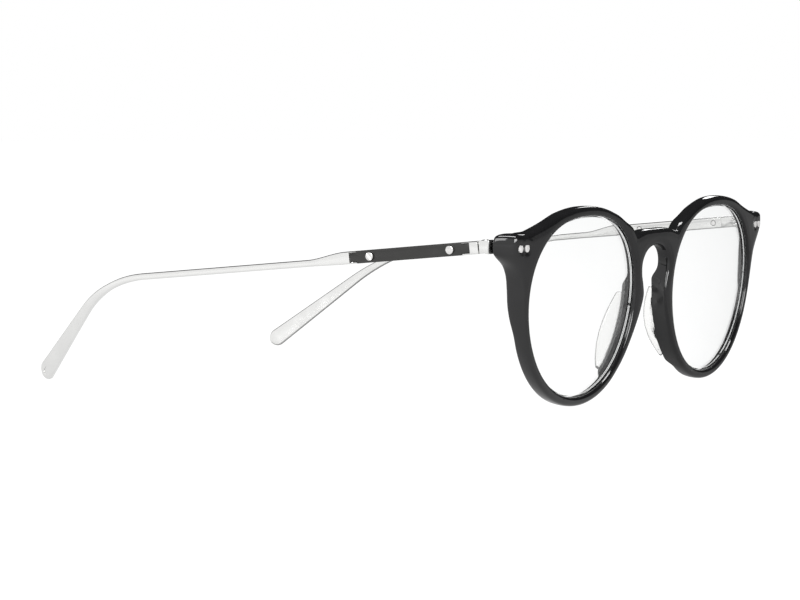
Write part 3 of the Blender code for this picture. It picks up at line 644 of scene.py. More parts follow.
def front_outline():
    right = half_outline()
    left = [(-p[0], *p[1:]) for p in reversed(right)]
    return smooth_outline([(0, BRIDGE_TOP), *right, (0, KEYHOLE_TOP), *left], OUTLINE_STEPS)


# ---------------------------------------------------------------- lenses and pads

def lens_mesh(sizes):
    """A meniscus lens; the tongue along its edge stands in the groove."""
    half = LENS_THICKNESS / 2
    turn = 2 * math.pi / OPENING_POINTS
    shares = [LENS_MIDDLE] + [i / LENS_RINGS for i in range(1, LENS_RINGS + 1)]
    rings = [(share, -SEAT_GAP, -half) for share in shares]
    rings += [(1.0, -SEAT_GAP, -LENS_TONGUE_HALF), (1.0, LENS_EDGE, -LENS_EDGE_HALF)]
    rings += [(1.0, LENS_EDGE, LENS_EDGE_HALF), (1.0, -SEAT_GAP, LENS_TONGUE_HALF)]
    rings += [(share, -SEAT_GAP, half) for share in reversed(shares)]
    sections = []
    for share, offset, thickness in rings:
        section = []
        for i in range(OPENING_POINTS):
            point = around_lens(i * turn, offset)
            x = -LENS_CENTRE_X + (point.x + LENS_CENTRE_X) * share
            y = FRONT_BASE_CURVE * x * x / 2 + GROOVE_MIDDLE + thickness
            section.append((x, y - sizes.lens_bulge * (1 - share * share), point.y * share))
        sections.append(section)
    bm = bmesh.new()
    loft(bm, sections)
    return bm


def pad_mesh():
    """A clear fin behind the built-up nose: each section is a tongue with a round end."""
    sections = []
    half = PAD_THICKNESS / 2
    root_depth = FRONT_THICKNESS + NOSE_RISE + SEAT_GAP
    arc = [math.pi * i / PAD_ARC_STEPS for i in range(PAD_ARC_STEPS + 1)]
    for i in range(PAD_SECTIONS + 1):
        along = i / PAD_SECTIONS
        angle = PAD_TOP_ANGLE + (PAD_FOOT_ANGLE - PAD_TOP_ANGLE) * along
        wave = PAD_SWELL[0] + (PAD_SWELL[1] - PAD_SWELL[0]) * along
        swell = math.sin(math.pi * wave) ** PAD_SWELL_POWER
        root = around_lens(angle, PAD_OFFSET)
        outward = (Vector((-LENS_CENTRE_X, 0)) - root).normalized()
        y = FRONT_BASE_CURVE * root.x**2 / 2 + root_depth
        reach = PAD_REACH * swell
        tongue = [(-half, 0), (half, 0)]
        tongue += [(half * math.cos(a), reach - half + half * math.sin(a)) for a in arc]
        section = []
        for aside, back in tongue:
            shift = aside * math.cos(PAD_FLARE) + back * math.sin(PAD_FLARE)
            depth = max(back * math.cos(PAD_FLARE) - aside * math.sin(PAD_FLARE), 0)
            section.append((root.x + outward.x * shift, y + depth, root.y + outward.y * shift))
        sections.append(section)
    bm = bmesh.new()
    loft(bm, sections)
    return bm


# ---------------------------------------------------------------- temples

def bar_frame(s):
    """Middle of the bar, and the directions outwards and across its height."""
    centre, up = bar_path(s)
    ahead, _ = bar_path(s + 1e-4)
    outward = (ahead - centre).normalized().cross(up).normalized()
    if outward.x > 0:
        outward.negate()
    return centre, outward, up


def bar_section(s, edge_round):
    """A rounded rectangle across the bar."""
    centre, outward, up = bar_frame(s)
    height = paddle_width(s) if s > PADDLE_START else bar_height(s)
    thickness = bar_thickness(s)
    lift = ROD_DROP * (bar_height(s) - BAR_HEIGHT)
    middle = centre + up * lift / 2 + outward * (BAR_THICKNESS - thickness) / 2
    radius = min(edge_round, BAR_MOST_ROUND * thickness, BAR_MOST_ROUND * height)
    points = []
    for quarter, (a, b) in enumerate(((1, 1), (-1, 1), (-1, -1), (1, -1))):
        for step in range(BAR_CORNER_STEPS + 1):
            angle = math.pi / 2 * (quarter + step / BAR_CORNER_STEPS)
            across = a * (thickness / 2 - radius) + radius * math.cos(angle)
            tall = b * (height / 2 - radius) + radius * math.sin(angle)
            points.append(middle + outward * across + up * tall)
    return points


def bar_stations():
    """Places along the bar at which its section is drawn."""
    radius = PADDLE_WIDTH / 2
    end = TEMPLE_LENGTH - radius
    start = TOE_IN_START - BEND_LEAD
    taper = TAPER_END - TAPER_START
    return [
        PIN_GAP, TAPER_START - 0.001,
        *(TAPER_START + taper * i / TAPER_STEPS for i in range(TAPER_STEPS + 1)),
        *(start + (end - start) * i / BEND_STEPS for i in range(BEND_STEPS + 1)),
        *(end + radius * math.sin(math.pi / 2 * i / TIP_STEPS) for i in range(1, TIP_STEPS + 1)),
    ]


def on_outer_face(u, v, w):
    """Places (u, v) as distance along the bar and height, and w as distance out from the axis."""
    return Vector((-w, u, v))


def inlay_outline(grow, tall):
    """The inlay seen from outside: a full-height middle between two narrow tabs."""
    tab = INLAY_TAB_HEIGHT / 2 + grow
    start, end = INLAY_START - grow, INLAY_END + grow
    inner_start, inner_end = INLAY_START + INLAY_TAB - grow, INLAY_END - INLAY_TAB + grow
    return [
        (start, -tab), (inner_start, -tab), (inner_start, -tall), (inner_end, -tall), (inner_end, -tab),
        (end, -tab), (end, tab), (inner_end, tab), (inner_end, tall), (inner_start, tall),
        (inner_start, tab), (start, tab),
    ]


def tip_oval():
    """A shallow oval cutter on the outer face of the tip."""
    s = TEMPLE_LENGTH - TIP_OVAL_FROM_END
    centre, outward, up = bar_frame(s)
    along = up.cross(outward)
    if along.y < 0:
        along.negate()
    middle = centre + up * ROD_DROP * (ROD_HEIGHT - BAR_HEIGHT) / 2
    middle += outward * (BAR_THICKNESS - PADDLE_THICKNESS) / 2
    low = PADDLE_THICKNESS / 2 - TIP_OVAL_DEPTH

    def on_tip(u, v, w):
        return middle + along * u + up * v + outward * w

    return prism(ring_points(*TIP_OVAL), low, low + PADDLE_THICKNESS, on_tip)


def temple_bar(name, side, sizes, material):
    place = hinge_place(side)
    bm = bmesh.new()
    loft(bm, [bar_section(s, sizes.bar_round) for s in bar_stations()])
    bar = mesh_object(f"temple_bar_{name}", bm, side, place, material)
    floor = BAR_OUTER - INLAY_DEPTH - PIN_GAP
    far = BAR_OUTER + CUT_LENGTH
    pocket = prism(inlay_outline(PIN_GAP, BAR_HEIGHT), floor, far, on_outer_face)
    cutters = [pocket, tip_oval()]
    radius = SCREW_RADIUS + PIN_GAP
    for spot in SCREW_PLACES:
        ring = [(u + spot, v) for u, v in ring_points(radius, radius)]
        cutters.append(prism(ring, BAR_INNER - CUT_LENGTH, far, on_outer_face))
    cut_away(bar, [mesh_object("cutter", cutter, side, place) for cutter in cutters])
    round_edges(bar, sizes.metal_edge)
    settle(bar, BAR_SHARP)
    return bar


# ---------------------------------------------------------------- screws and rivets

def feed(tree, socket, value):
    """Links a socket to an output, or sets it to a plain value."""
    if isinstance(value, bpy.types.NodeSocket):
        tree.links.new(value, socket)
    else:
        socket.default_value = value


def node_output(tree, kind, inputs, **settings):
    """The first output of a new node, with its settings made and its inputs fed."""
    node = tree.nodes.new(kind)
    for name, value in settings.items():
        setattr(node, name, value)
    for label, value in inputs.items():
        feed(tree, node.inputs[label], value)
    return node.outputs[0]


def value_node(tree, operation, first, second=0.0):
    return node_output(tree, "ShaderNodeMath", {0: first, 1: second}, operation=operation)


def combine_node(tree, x, y, z):
    return node_output(tree, "ShaderNodeCombineXYZ", {0: x, 1: y, 2: z})


def vector_node(tree, operation, first, second=(0, 0, 0)):
    """A Vector Math node's vector, or its number where the operation gives one."""
    node = tree.nodes.new("ShaderNodeVectorMath")
    node.operation = operation
    feed(tree, node.inputs[0], first)
    feed(tree, node.inputs[1], second)
    return node.outputs["Value" if operation in ("LENGTH", "DOT_PRODUCT") else "Vector"]


def pick_node(tree, index, choices):
    """A number chosen by an index from a row of sockets and numbers."""
    node = tree.nodes.new("GeometryNodeIndexSwitch")
    node.data_type = "FLOAT"
    while len(node.index_switch_items) < len(choices):
        node.index_switch_items.new()
    tree.links.new(index, node.inputs[0])
    for socket, choice in zip(node.inputs[1:], choices):
        feed(tree, socket, choice)
    return node.outputs[0]


FASTENER_INPUTS = (
    ("Head Radius", "Float"), ("Head Height", "Float"), ("Dome", "Float"), ("Shank Radius", "Float"),
    ("Shank Length", "Float"), ("Slotted", "Bool"), ("Slot Width", "Float"), ("Slot Depth", "Float"),
    ("Material", "Material"),
)


def fastener_tree():
    """Turns a head and shank about Z, cuts the slot, and sets one at each point along its turn."""
    name = "Turned Fastener"
    if name in bpy.data.node_groups:
        return bpy.data.node_groups[name]
    tree = bpy.data.node_groups.new(name, "GeometryNodeTree")
    tree.interface.new_socket("Geometry", in_out="INPUT", socket_type="NodeSocketGeometry")
    for label, kind in FASTENER_INPUTS:
        tree.interface.new_socket(label, in_out="INPUT", socket_type=f"NodeSocket{kind}")
    tree.interface.new_socket("Geometry", in_out="OUTPUT", socket_type="NodeSocketGeometry")
    given = tree.nodes.new("NodeGroupInput").outputs
    radius, height, shank = given["Head Radius"], given["Head Height"], given["Shank Radius"]

    def times(socket, number):
        return value_node(tree, "MULTIPLY", socket, number)

    def above_rim(share):
        return value_node(tree, "ADD", height, times(given["Dome"], share))

    below = times(given["Shank Length"], -1.0)
    radii = [times(radius, across) for across, _ in HEAD_PROFILE] + [radius, radius, shank, shank, 0.0]
    heights = [above_rim(share) for _, share in HEAD_PROFILE]
    heights += [times(height, HEAD_FLANK), 0.0, 0.0, below, below]
    rows = len(radii)
    index = tree.nodes.new("GeometryNodeInputIndex").outputs[0]
    row = value_node(tree, "MODULO", index, float(rows))
    column = value_node(tree, "FLOOR", value_node(tree, "DIVIDE", index, float(rows)))
    angle = times(column, -2 * math.pi / TURNED_STEPS)
    across = pick_node(tree, row, radii)
    place = combine_node(
        tree, value_node(tree, "MULTIPLY", across, value_node(tree, "COSINE", angle)),
        value_node(tree, "MULTIPLY", across, value_node(tree, "SINE", angle)),
        pick_node(tree, row, heights),
    )
    grid = node_output(tree, "GeometryNodeMeshGrid", {"Vertices X": TURNED_STEPS + 1, "Vertices Y": rows})
    shaped = node_output(tree, "GeometryNodeSetPosition", {"Geometry": grid, "Position": place})
    turned = node_output(
        tree, "GeometryNodeMergeByDistance", {"Geometry": shaped, "Distance": FASTENER_WELD}
    )
    deep = times(given["Slot Depth"], 2.0)
    size = combine_node(tree, times(radius, SLOT_LENGTH), given["Slot Width"], deep)
    bar = node_output(tree, "GeometryNodeMeshCube", {"Size": size})
    raised = combine_node(tree, 0.0, 0.0, above_rim(1.0))
    slot = node_output(tree, "GeometryNodeTransform", {"Geometry": bar, "Translation": raised})
    cut = node_output(
        tree, "GeometryNodeMeshBoolean", {"Mesh 1": turned, "Mesh 2": slot},
        operation="DIFFERENCE", solver="EXACT",
    )
    chosen = node_output(
        tree, "GeometryNodeSwitch", {"Switch": given["Slotted"], "False": turned, "True": cut},
        input_type="GEOMETRY",
    )
    position = tree.nodes.new("GeometryNodeInputPosition").outputs[0]
    reach = vector_node(tree, "LENGTH", vector_node(tree, "MULTIPLY", position, (1, 1, 0)))
    marked = node_output(
        tree, "GeometryNodeStoreNamedAttribute",
        {"Geometry": chosen, "Name": "turned", "Value": value_node(tree, "DIVIDE", reach, radius)},
        data_type="FLOAT",
    )
    facing = node_output(
        tree, "GeometryNodeInputNamedAttribute", {"Name": "facing"}, data_type="FLOAT_VECTOR"
    )
    each = node_output(tree, "GeometryNodeInstanceOnPoints", {
        "Points": node_output(tree, "GeometryNodeMeshToPoints", {0: given["Geometry"]}),
        "Instance": marked, "Rotation": node_output(tree, "FunctionNodeEulerToRotation", {0: facing}),
    })
    real = node_output(tree, "GeometryNodeRealizeInstances", {0: each})
    finish = node_output(
        tree, "GeometryNodeSetMaterial", {"Geometry": real, "Material": given["Material"]}
    )
    tree.links.new(finish, tree.nodes.new("NodeGroupOutput").inputs[0])
    return tree


def fasteners(name, places, values):
    """One mesh with a fastener at each place, a matrix whose Z leaves the head."""
    mesh = bpy.data.meshes.new(name)
    mesh.from_pydata([place.to_translation() for place in places], [], [])
    facing = mesh.attributes.new("facing", "FLOAT_VECTOR", "POINT")
    for item, place in zip(facing.data, places):
        item.vector = place.to_euler()
    obj = new_object(name, mesh)
    tree = fastener_tree()
    modifier = obj.modifiers.new("Fasteners", "NODES")
    modifier.node_group = tree
    for item in tree.interface.items_tree:
        if item.in_out == "INPUT" and item.name in values:
            modifier[item.identifier] = values[item.name]
    return settle(obj, FASTENER_SHARP)


def screw_places(name, side):
    """Where the inlay screws' heads sit, slots turned as they were left."""
    places = []
    for spot, turn in zip(SCREW_PLACES, SCREW_TURNS):
        seat = Vector((side * (BAR_OUTER + PIN_GAP), spot, 0))
        out = Matrix.Rotation(side * math.pi / 2, 4, "Y")
        places.append(hinge_place(side) @ Matrix.Translation(seat) @ out @ Matrix.Rotation(turn, 4, "Z"))
    return places


def rivet_places():
    places = []
    for _, side in SIDES:
        for x in RIVET_X:
            spot = Vector((side * x, FRONT_BASE_CURVE * x * x / 2 - FACE_CROWN, RIVET_Z))
            places.append(front_place() @ Matrix.Translation(spot) @ Matrix.Rotation(math.pi / 2, 4, "X"))
    return places


# ---------------------------------------------------------------- materials

def shader_group(name, inputs, outputs):
    tree = bpy.data.node_groups.new(name, "ShaderNodeTree")
    for label, kind, value in inputs:
        socket = tree.interface.new_socket(label, in_out="INPUT", socket_type=kind)
        if value is not None:
            socket.default_value = value
    for label, kind in outputs:
        tree.interface.new_socket(label, in_out="OUTPUT", socket_type=kind)
    return tree, tree.nodes.new("NodeGroupInput").outputs, tree.nodes.new("NodeGroupOutput").inputs


def noise_node(tree, vector, scale, detail, roughness=0.5):
    return node_output(tree, "ShaderNodeTexNoise", {
        "Vector": vector, "Scale": scale, "Detail": detail, "Roughness": roughness,
    })


def range_node(tree, value, low, high, to_low=0.0, to_high=1.0):
    return node_output(tree, "ShaderNodeMapRange", {
        "Value": value, "From Min": low, "From Max": high, "To Min": to_low, "To Max": to_high,
    })


def stretch_node(tree, vector, scale):
    return vector_node(tree, "MULTIPLY", vector, scale)


def handling_group():
    """Smudges from fingers, hairline scratches and the small waves of a polished surface."""
    name = "Handling"
    if name in bpy.data.node_groups:
        return bpy.data.node_groups[name]
    tree, given, out = shader_group(
        name,
        (
            ("Vector", "NodeSocketVector", None), ("Roughness", "NodeSocketFloat", 0.1),
            ("Smudge", "NodeSocketFloat", 0.05), ("Smudge Scale", "NodeSocketFloat", 160.0),
            ("Scratch", "NodeSocketFloat", 0.05), ("Scratch Stretch", "NodeSocketVector", (900, 60, 900)),
            ("Wave Scale", "NodeSocketFloat", 350.0),
        ),
        (("Roughness", "NodeSocketFloat"), ("Height", "NodeSocketFloat"), ("Tone", "NodeSocketFloat")),
    )
    vector = given["Vector"]
    smudge = range_node(tree, noise_node(tree, vector, given["Smudge Scale"], 5.0, 0.6), 0.42, 0.72)
    lines = noise_node(tree, stretch_node(tree, vector, given["Scratch Stretch"]), 1.0, 6.0, 0.65)
    scratch = range_node(tree, lines, 0.55, 0.78)
    wave = noise_node(tree, vector, given["Wave Scale"], 2.0)
    worn = value_node(tree, "MULTIPLY", smudge, given["Smudge"])
    scored = value_node(tree, "MULTIPLY", scratch, given["Scratch"])
    rough = value_node(tree, "ADD", given["Roughness"], value_node(tree, "ADD", worn, scored))
    tree.links.new(rough, out["Roughness"])
    height = value_node(tree, "SUBTRACT", wave, value_node(tree, "MULTIPLY", scratch, 0.35))
    tree.links.new(height, out["Height"])
    smudged = value_node(tree, "MULTIPLY", smudge, 0.6)
    tone = value_node(tree, "ADD", smudged, value_node(tree, "MULTIPLY", wave, 0.4))
    tree.links.new(tone, out["Tone"])
    return tree


def finish_material(name, settings, dark, light, handling, bump, extra=None):
    """A Principled material whose colour, roughness and bump come from the Handling group."""
    material = bpy.data.materials.new(name)
    material.use_nodes = True
    tree = material.node_tree
    shader = tree.nodes["Principled BSDF"]
    for label, value in settings.items():
        shader.inputs[label].default_value = value
    place = tree.nodes.new("ShaderNodeTexCoord")
    group = tree.nodes.new("ShaderNodeGroup")
    group.node_tree = handling_group()
    tree.links.new(place.outputs["Object"], group.inputs["Vector"])
    for label, value in handling.items():
        group.inputs[label].default_value = value
    mix = tree.nodes.new("ShaderNodeMix")
    mix.data_type = "RGBA"
    mix.inputs["A"].default_value = (*dark, 1)
    mix.inputs["B"].default_value = (*light, 1)
    tree.links.new(group.outputs["Tone"], mix.inputs["Factor"])
    colour, rough, height = mix.outputs["Result"], group.outputs["Roughness"], group.outputs["Height"]
    if extra:
        colour, rough, height = extra(tree, place.outputs["Object"], colour, rough, height)
    tree.links.new(colour, shader.inputs["Base Color"])
    tree.links.new(rough, shader.inputs["Roughness"])
    strength, distance = bump
    relief = {"Strength": strength, "Distance": distance, "Height": height}
    tree.links.new(node_output(tree, "ShaderNodeBump", relief), shader.inputs["Normal"])
    return material


def shades(colour, share):
    """A darker shade of a colour, and the colour."""
    return [share * part for part in colour[:3]], colour[:3]


def acetate_material(colour):
    """Tumbled and polished black acetate."""
    return finish_material(
        "polished_black_acetate", {"IOR": 1.49}, *shades(colour, 0.6),
        {"Roughness": 0.045, "Smudge": 0.05, "Smudge Scale": 170.0, "Scratch": 0.05,
         "Scratch Stretch": (420, 420, 90), "Wave Scale": 260.0},
        (0.03, 0.00002),
    )


def satin_material(colour):
    """Acetate of the inlays, left satin by its machining."""

    def grain(tree, vector, shade, rough, height):
        fine = noise_node(tree, stretch_node(tree, vector, (5200, 240, 5200)), 1.0, 3.0, 0.6)
        return shade, value_node(tree, "ADD", rough, range_node(tree, fine, 0.3, 0.7, -0.04, 0.06)), fine

    return finish_material(
        "satin_black_acetate", {"IOR": 1.49}, *shades(colour, 0.7),
        {"Roughness": 0.3, "Smudge": 0.08, "Smudge Scale": 240.0, "Scratch": 0.06,
         "Scratch Stretch": (1600, 90, 1600), "Wave Scale": 500.0},
        (0.25, 0.00002), grain,
    )


def metal_material(colour):
    """Plated and polished metal, buffed along the temple."""

    def buffed(tree, vector, shade, rough, height):
        lines = noise_node(tree, stretch_node(tree, vector, (7000, 130, 7000)), 1.0, 4.0, 0.7)
        return shade, value_node(tree, "ADD", rough, range_node(tree, lines, 0.35, 0.7, -0.02, 0.05)), lines

    return finish_material(
        "polished_metal", {"Metallic": 1.0}, *shades(colour, 0.93),
        {"Roughness": 0.13, "Smudge": 0.07, "Smudge Scale": 130.0, "Scratch": 0.06,
         "Scratch Stretch": (1800, 70, 1800), "Wave Scale": 300.0},
        (0.06, 0.00001), buffed,
    )


def turned_material(name, colour, roughness, metallic=1.0):
    """Metal faced off on a lathe, with fine rings about each screw's own axis."""

    def rings(tree, vector, shade, rough, height):
        radius = tree.nodes.new("ShaderNodeAttribute")
        radius.attribute_name = "turned"
        wave = value_node(tree, "SINE", value_node(tree, "MULTIPLY", radius.outputs["Fac"], 75.0), 0.0)
        return shade, value_node(tree, "ADD", rough, range_node(tree, wave, -1, 1, -0.03, 0.05)), wave

    return finish_material(
        name, {"Metallic": metallic}, *shades(colour, 0.88),
        {"Roughness": roughness, "Smudge": 0.08, "Smudge Scale": 900.0, "Scratch": 0.05,
         "Scratch Stretch": (3000, 3000, 3000), "Wave Scale": 2000.0},
        (0.10, 0.000006), rings,
    )


def clear_material(name, colour, roughness, smudge, ior):
    return finish_material(
        name, {"Transmission Weight": 1.0, "IOR": ior}, *shades(colour, 0.985),
        {"Roughness": roughness, "Smudge": smudge, "Smudge Scale": 60.0, "Scratch": 0.3 * smudge,
         "Scratch Stretch": (260, 260, 60), "Wave Scale": 90.0},
        (0.02, 0.00001),
    )


# ---------------------------------------------------------------- settings

def length_property(name, description, default, low, high):
    return bpy.props.FloatProperty(
        name=name, description=description, default=default, min=low, max=high, precision=6, unit="LENGTH"
    )


class EyeglassesSizes(bpy.types.PropertyGroup):
    face_round: length_property(
        "Face Rounding", "Radius of the acetate's edges at the front face",
        0.00075, 0.0001, 0.001,
    )
    back_round: length_property(
        "Back Rounding", "Radius of the acetate's edges at the back",
        0.0005, 0.0001, 0.001,
    )
    lens_bulge: length_property(
        "Lens Bulge", "How far the middle of a lens stands ahead of its edge",
        LENS_BULGE, 0.0, 0.003,
    )
    bar_round: length_property(
        "Temple Rounding", "Radius of the temple bar's long edges",
        0.00032, 0.00005, 0.0006,
    )
    metal_edge: length_property(
        "Metal Edge", "Width of the broken edges on the machined metal",
        0.00006, 0.00001, 0.0002,
    )
    inlay_edge: length_property(
        "Inlay Edge", "Width of the rounded edges of the inlays",
        0.00012, 0.00001, 0.0003,
    )
    screw_dome: length_property(
        "Screw Dome", "How far a screw's head rises towards its middle",
        0.00012, 0.0, 0.0005,
    )


def colour_property(name, description, default):
    return bpy.props.FloatVectorProperty(
        name=name, description=description, default=default, size=3, min=0.0, max=1.0, subtype="COLOR"
    )


class EyeglassesColours(bpy.types.PropertyGroup):
    acetate: colour_property("Acetate", "Colour of the front", (0.008, 0.008, 0.0085))
    inlay: colour_property("Inlay", "Colour of the temple inlays", (0.018, 0.0175, 0.0165))
    metal: colour_property("Metal", "Colour of the temples and hinges", (0.8, 0.8, 0.79))
    screws: colour_property("Screws", "Colour of the screws", (0.80, 0.79, 0.78))
    rivets: colour_property("Rivets", "Colour of the rivets", (0.84, 0.83, 0.82))
    lens: colour_property("Lens", "Tint of the lenses", (0.995, 1.0, 0.998))
    pads: colour_property("Pads", "Tint of the nose pads", (0.94, 0.94, 0.93))
    floor: colour_property("Floor", "Colour of the glowing floor", (1.0, 1.0, 1.0))


# ---------------------------------------------------------------- operators

class EYEGLASSES_OT_acetate_front(bpy.types.Operator):
    """Models the acetate front with its grooves, built-up nose and rivet holes"""
    bl_idname = "eyeglasses.acetate_front"
    bl_label = "Acetate Front"

    def execute(self, context):
        material = acetate_material(context.scene.eyeglasses_colours.acetate)
        bm = front_mesh(context.scene.eyeglasses_sizes)
        front = mesh_object("acetate_front", bm, -1, front_place(), material)
        settle(front, FRONT_SHARP)
        attach(front, "front", "black_acetate", "front_frame")
        return {"FINISHED"}


class EYEGLASSES_OT_lenses(bpy.types.Operator):
    """Models the two clear lenses with their bevelled edges"""
    bl_idname = "eyeglasses.lenses"
    bl_label = "Lenses"

    def execute(self, context):
        tint = context.scene.eyeglasses_colours.lens
        material = clear_material("clear_lens", tint, roughness=0.0, smudge=0.012, ior=1.5)
        for name, side in SIDES:
            bm = lens_mesh(context.scene.eyeglasses_sizes)
            lens = mesh_object(f"meniscus_lens_{name}", bm, side, front_place(), material)
            settle(lens, LENS_SHARP)
            attach(lens, "front", "lens_clear", f"lens_{name}")
        return {"FINISHED"}


class EYEGLASSES_OT_nose_pads(bpy.types.Operator):
    """Models the clear pads behind the built-up nose"""
    bl_idname = "eyeglasses.nose_pads"
    bl_label = "Nose Pads"

    def execute(self, context):
        tint = context.scene.eyeglasses_colours.pads
        material = clear_material("clear_pad", tint, roughness=0.06, smudge=0.08, ior=1.47)
        for name, side in SIDES:
            pad = mesh_object(f"clear_pad_{name}", pad_mesh(), side, front_place(), material)
            round_edges(pad, PAD_EDGE, PAD_BEVEL_ANGLE)
            settle(pad, PAD_SHARP)
            attach(pad, "front", "pad_clear", f"nose_pad_{name}")
        return {"FINISHED"}


class EYEGLASSES_OT_rivets(bpy.types.Operator):
    """Sets the rivets into the end pieces"""
    bl_idname = "eyeglasses.rivets"
    bl_label = "Rivets"

    def execute(self, context):
        material = turned_material("rivet_metal", context.scene.eyeglasses_colours.rivets, 0.3, 0.45)
        rivets = fasteners("end_piece_rivets", rivet_places(), {
            "Head Radius": RIVET_RADIUS, "Head Height": RIVET_PROUD, "Dome": RIVET_DOME,
            "Shank Radius": RIVET_RADIUS * RIVET_SHANK, "Slotted": False,
            "Shank Length": FRONT_THICKNESS + END_PIECE_EXTRA - FACE_CROWN,
            "Slot Width": SLOT_WIDTH, "Slot Depth": SLOT_DEPTH, "Material": material,
        })
        nodes = [f"rivet_{name}_{number}" for name, _ in SIDES for number in (1, 2)]
        attach(rivets, "front", "rivet_steel", *nodes)
        return {"FINISHED"}


class EYEGLASSES_OT_hinges(bpy.types.Operator):
    """Models the hinge blocks, the temples' leaves and the hinge screws"""
    bl_idname = "eyeglasses.hinges"
    bl_label = "Hinges"

    def execute(self, context):
        sizes, colours = context.scene.eyeglasses_sizes, context.scene.eyeglasses_colours
        metal = metal_material(colours.metal)
        places = []
        for name, side in SIDES:
            for node, body in ((f"hinge_block_{name}", "front"), (f"temple_leaf_{name}", f"{name}_temple")):
                piece = softened(f"{node}_finished", node, sizes.metal_edge, metal)
                attach(piece, body, "polished_metal", node)
            seat = Matrix.Translation((0, 0, HINGE_HALF + PIN_GAP))
            places.append(hinge_place(side) @ seat @ Matrix.Rotation(HINGE_SLOT_TURN, 4, "Z"))
        screws = fasteners("hinge_screws", places, {
            "Head Radius": HINGE_HEAD_RADIUS, "Head Height": HINGE_HEAD_HEIGHT * HINGE_HEAD_EDGE,
            "Dome": sizes.screw_dome, "Slotted": True,
            "Shank Radius": HINGE_PIN_RADIUS, "Shank Length": 2 * HINGE_HALF + PIN_GAP,
            "Slot Width": SLOT_WIDTH, "Slot Depth": SLOT_DEPTH,
            "Material": turned_material("hinge_screw_steel", colours.screws, 0.16),
        })
        attach(screws, "front", "screw_steel", *[f"hinge_screw_{name}" for name, _ in SIDES])
        return {"FINISHED"}


class EYEGLASSES_OT_temples(bpy.types.Operator):
    """Models the temple bars from the hinge to the flat tip"""
    bl_idname = "eyeglasses.temples"
    bl_label = "Temples"

    def execute(self, context):
        metal = metal_material(context.scene.eyeglasses_colours.metal)
        for name, side in SIDES:
            bar = temple_bar(name, side, context.scene.eyeglasses_sizes, metal)
            attach(bar, f"{name}_temple", "polished_metal", f"temple_{name}")
        return {"FINISHED"}


class EYEGLASSES_OT_inlays(bpy.types.Operator):
    """Lays the acetate inlays into the temples and screws them down"""
    bl_idname = "eyeglasses.inlays"
    bl_label = "Inlays"

    def execute(self, context):
        sizes, colours = context.scene.eyeglasses_sizes, context.scene.eyeglasses_colours
        satin = satin_material(colours.inlay)
        steel = turned_material("inlay_screw_steel", colours.screws, 0.14)
        for name, side in SIDES:
            inlay = softened(f"inlay_{name}_finished", f"inlay_{name}", sizes.inlay_edge, satin)
            attach(inlay, f"{name}_temple", "satin_acetate", f"inlay_{name}")
            screws = fasteners(f"inlay_screws_{name}", screw_places(name, side), {
                "Head Radius": SCREW_HEAD_RADIUS, "Head Height": SCREW_HEAD_HEIGHT * SCREW_HEAD_EDGE,
                "Dome": sizes.screw_dome, "Slotted": True,
                "Shank Radius": SCREW_RADIUS, "Shank Length": BAR_THICKNESS + PIN_GAP,
                "Slot Width": SLOT_WIDTH, "Slot Depth": SLOT_DEPTH, "Material": steel,
            })
            nodes = [f"inlay_screw_{name}_{number}" for number in (1, 2)]
            attach(screws, f"{name}_temple", "screw_steel", *nodes)
        return {"FINISHED"}


class EYEGLASSES_OT_stage(bpy.types.Operator):
    """Sets the pale floor, the soft lights and the camera"""
    bl_idname = "eyeglasses.stage"
    bl_label = "Stage"

    def execute(self, context):
        floor_stage(context.scene.eyeglasses_colours.floor)
        studio_world()
        for name, settings in LIGHTS.items():
            studio_light(name, *settings)
        studio_camera()
        context.scene.view_settings.view_transform = "Standard"
        return {"FINISHED"}


# ---------------------------------------------------------------- stage

def floor_stage(colour):
    bm = bmesh.new()
    bmesh.ops.create_grid(bm, x_segments=2, y_segments=2, size=FLOOR_SIZE / 2)
    mesh = bpy.data.meshes.new("floor")
    bm.to_mesh(mesh)
    bm.free()
    deep = [FLOOR_SHADE * part for part in colour]
    light = [FLOOR_LIGHT * part for part in deep]
    material = finish_material(
        "pale_floor", {"Emission Color": (*colour, 1), "Specular IOR Level": 0.0}, deep, light,
        {"Roughness": 0.8, "Smudge": 0.05, "Smudge Scale": 6.0, "Wave Scale": 3.0},
        (0.02, 0.0002),
    )
    tree = material.node_tree
    place = tree.nodes.new("ShaderNodeTexCoord").outputs["Object"]
    near = range_node(tree, vector_node(tree, "LENGTH", place), *NEAR_FLOOR_RANGE)
    mirrored = value_node(tree, "MULTIPLY", near, side_strength(tree, place))
    glow = in_reflections(tree, 1.0, mirrored)
    tree.links.new(glow, tree.nodes["Principled BSDF"].inputs["Emission Strength"])
    new_object("floor", mesh, material)


def side_strength(tree, vector):
    """How bright the studio is towards a point or direction, away from its dark side."""
    direction = vector_node(tree, "NORMALIZE", vector)
    return range_node(tree, vector_node(tree, "DOT_PRODUCT", direction, DARK_SIDE), *SIDE_RANGE)


def in_reflections(tree, plain, mirrored):
    """The plain strength, except that reflections see the mirrored one."""
    reflected = tree.nodes.new("ShaderNodeLightPath").outputs["Is Reflection Ray"]
    return node_output(tree, "ShaderNodeMix", {"Factor": reflected, "A": plain, "B": mirrored})


def studio_world():
    """A white cyclorama whose dark side and ceiling show only in reflections."""
    world = bpy.data.worlds.new("studio")
    bpy.context.scene.world = world
    world.use_nodes = True
    tree = world.node_tree
    background = tree.nodes["Background"]
    background.inputs["Color"].default_value = (1, 1, 1, 1)
    place = tree.nodes.new("ShaderNodeTexCoord").outputs["Generated"]
    overhead = range_node(tree, vector_node(tree, "DOT_PRODUCT", place, OVERHEAD), *OVERHEAD_RANGE)
    mirrored = value_node(tree, "MULTIPLY", overhead, side_strength(tree, place))
    tree.links.new(in_reflections(tree, 1.0, mirrored), background.inputs["Strength"])


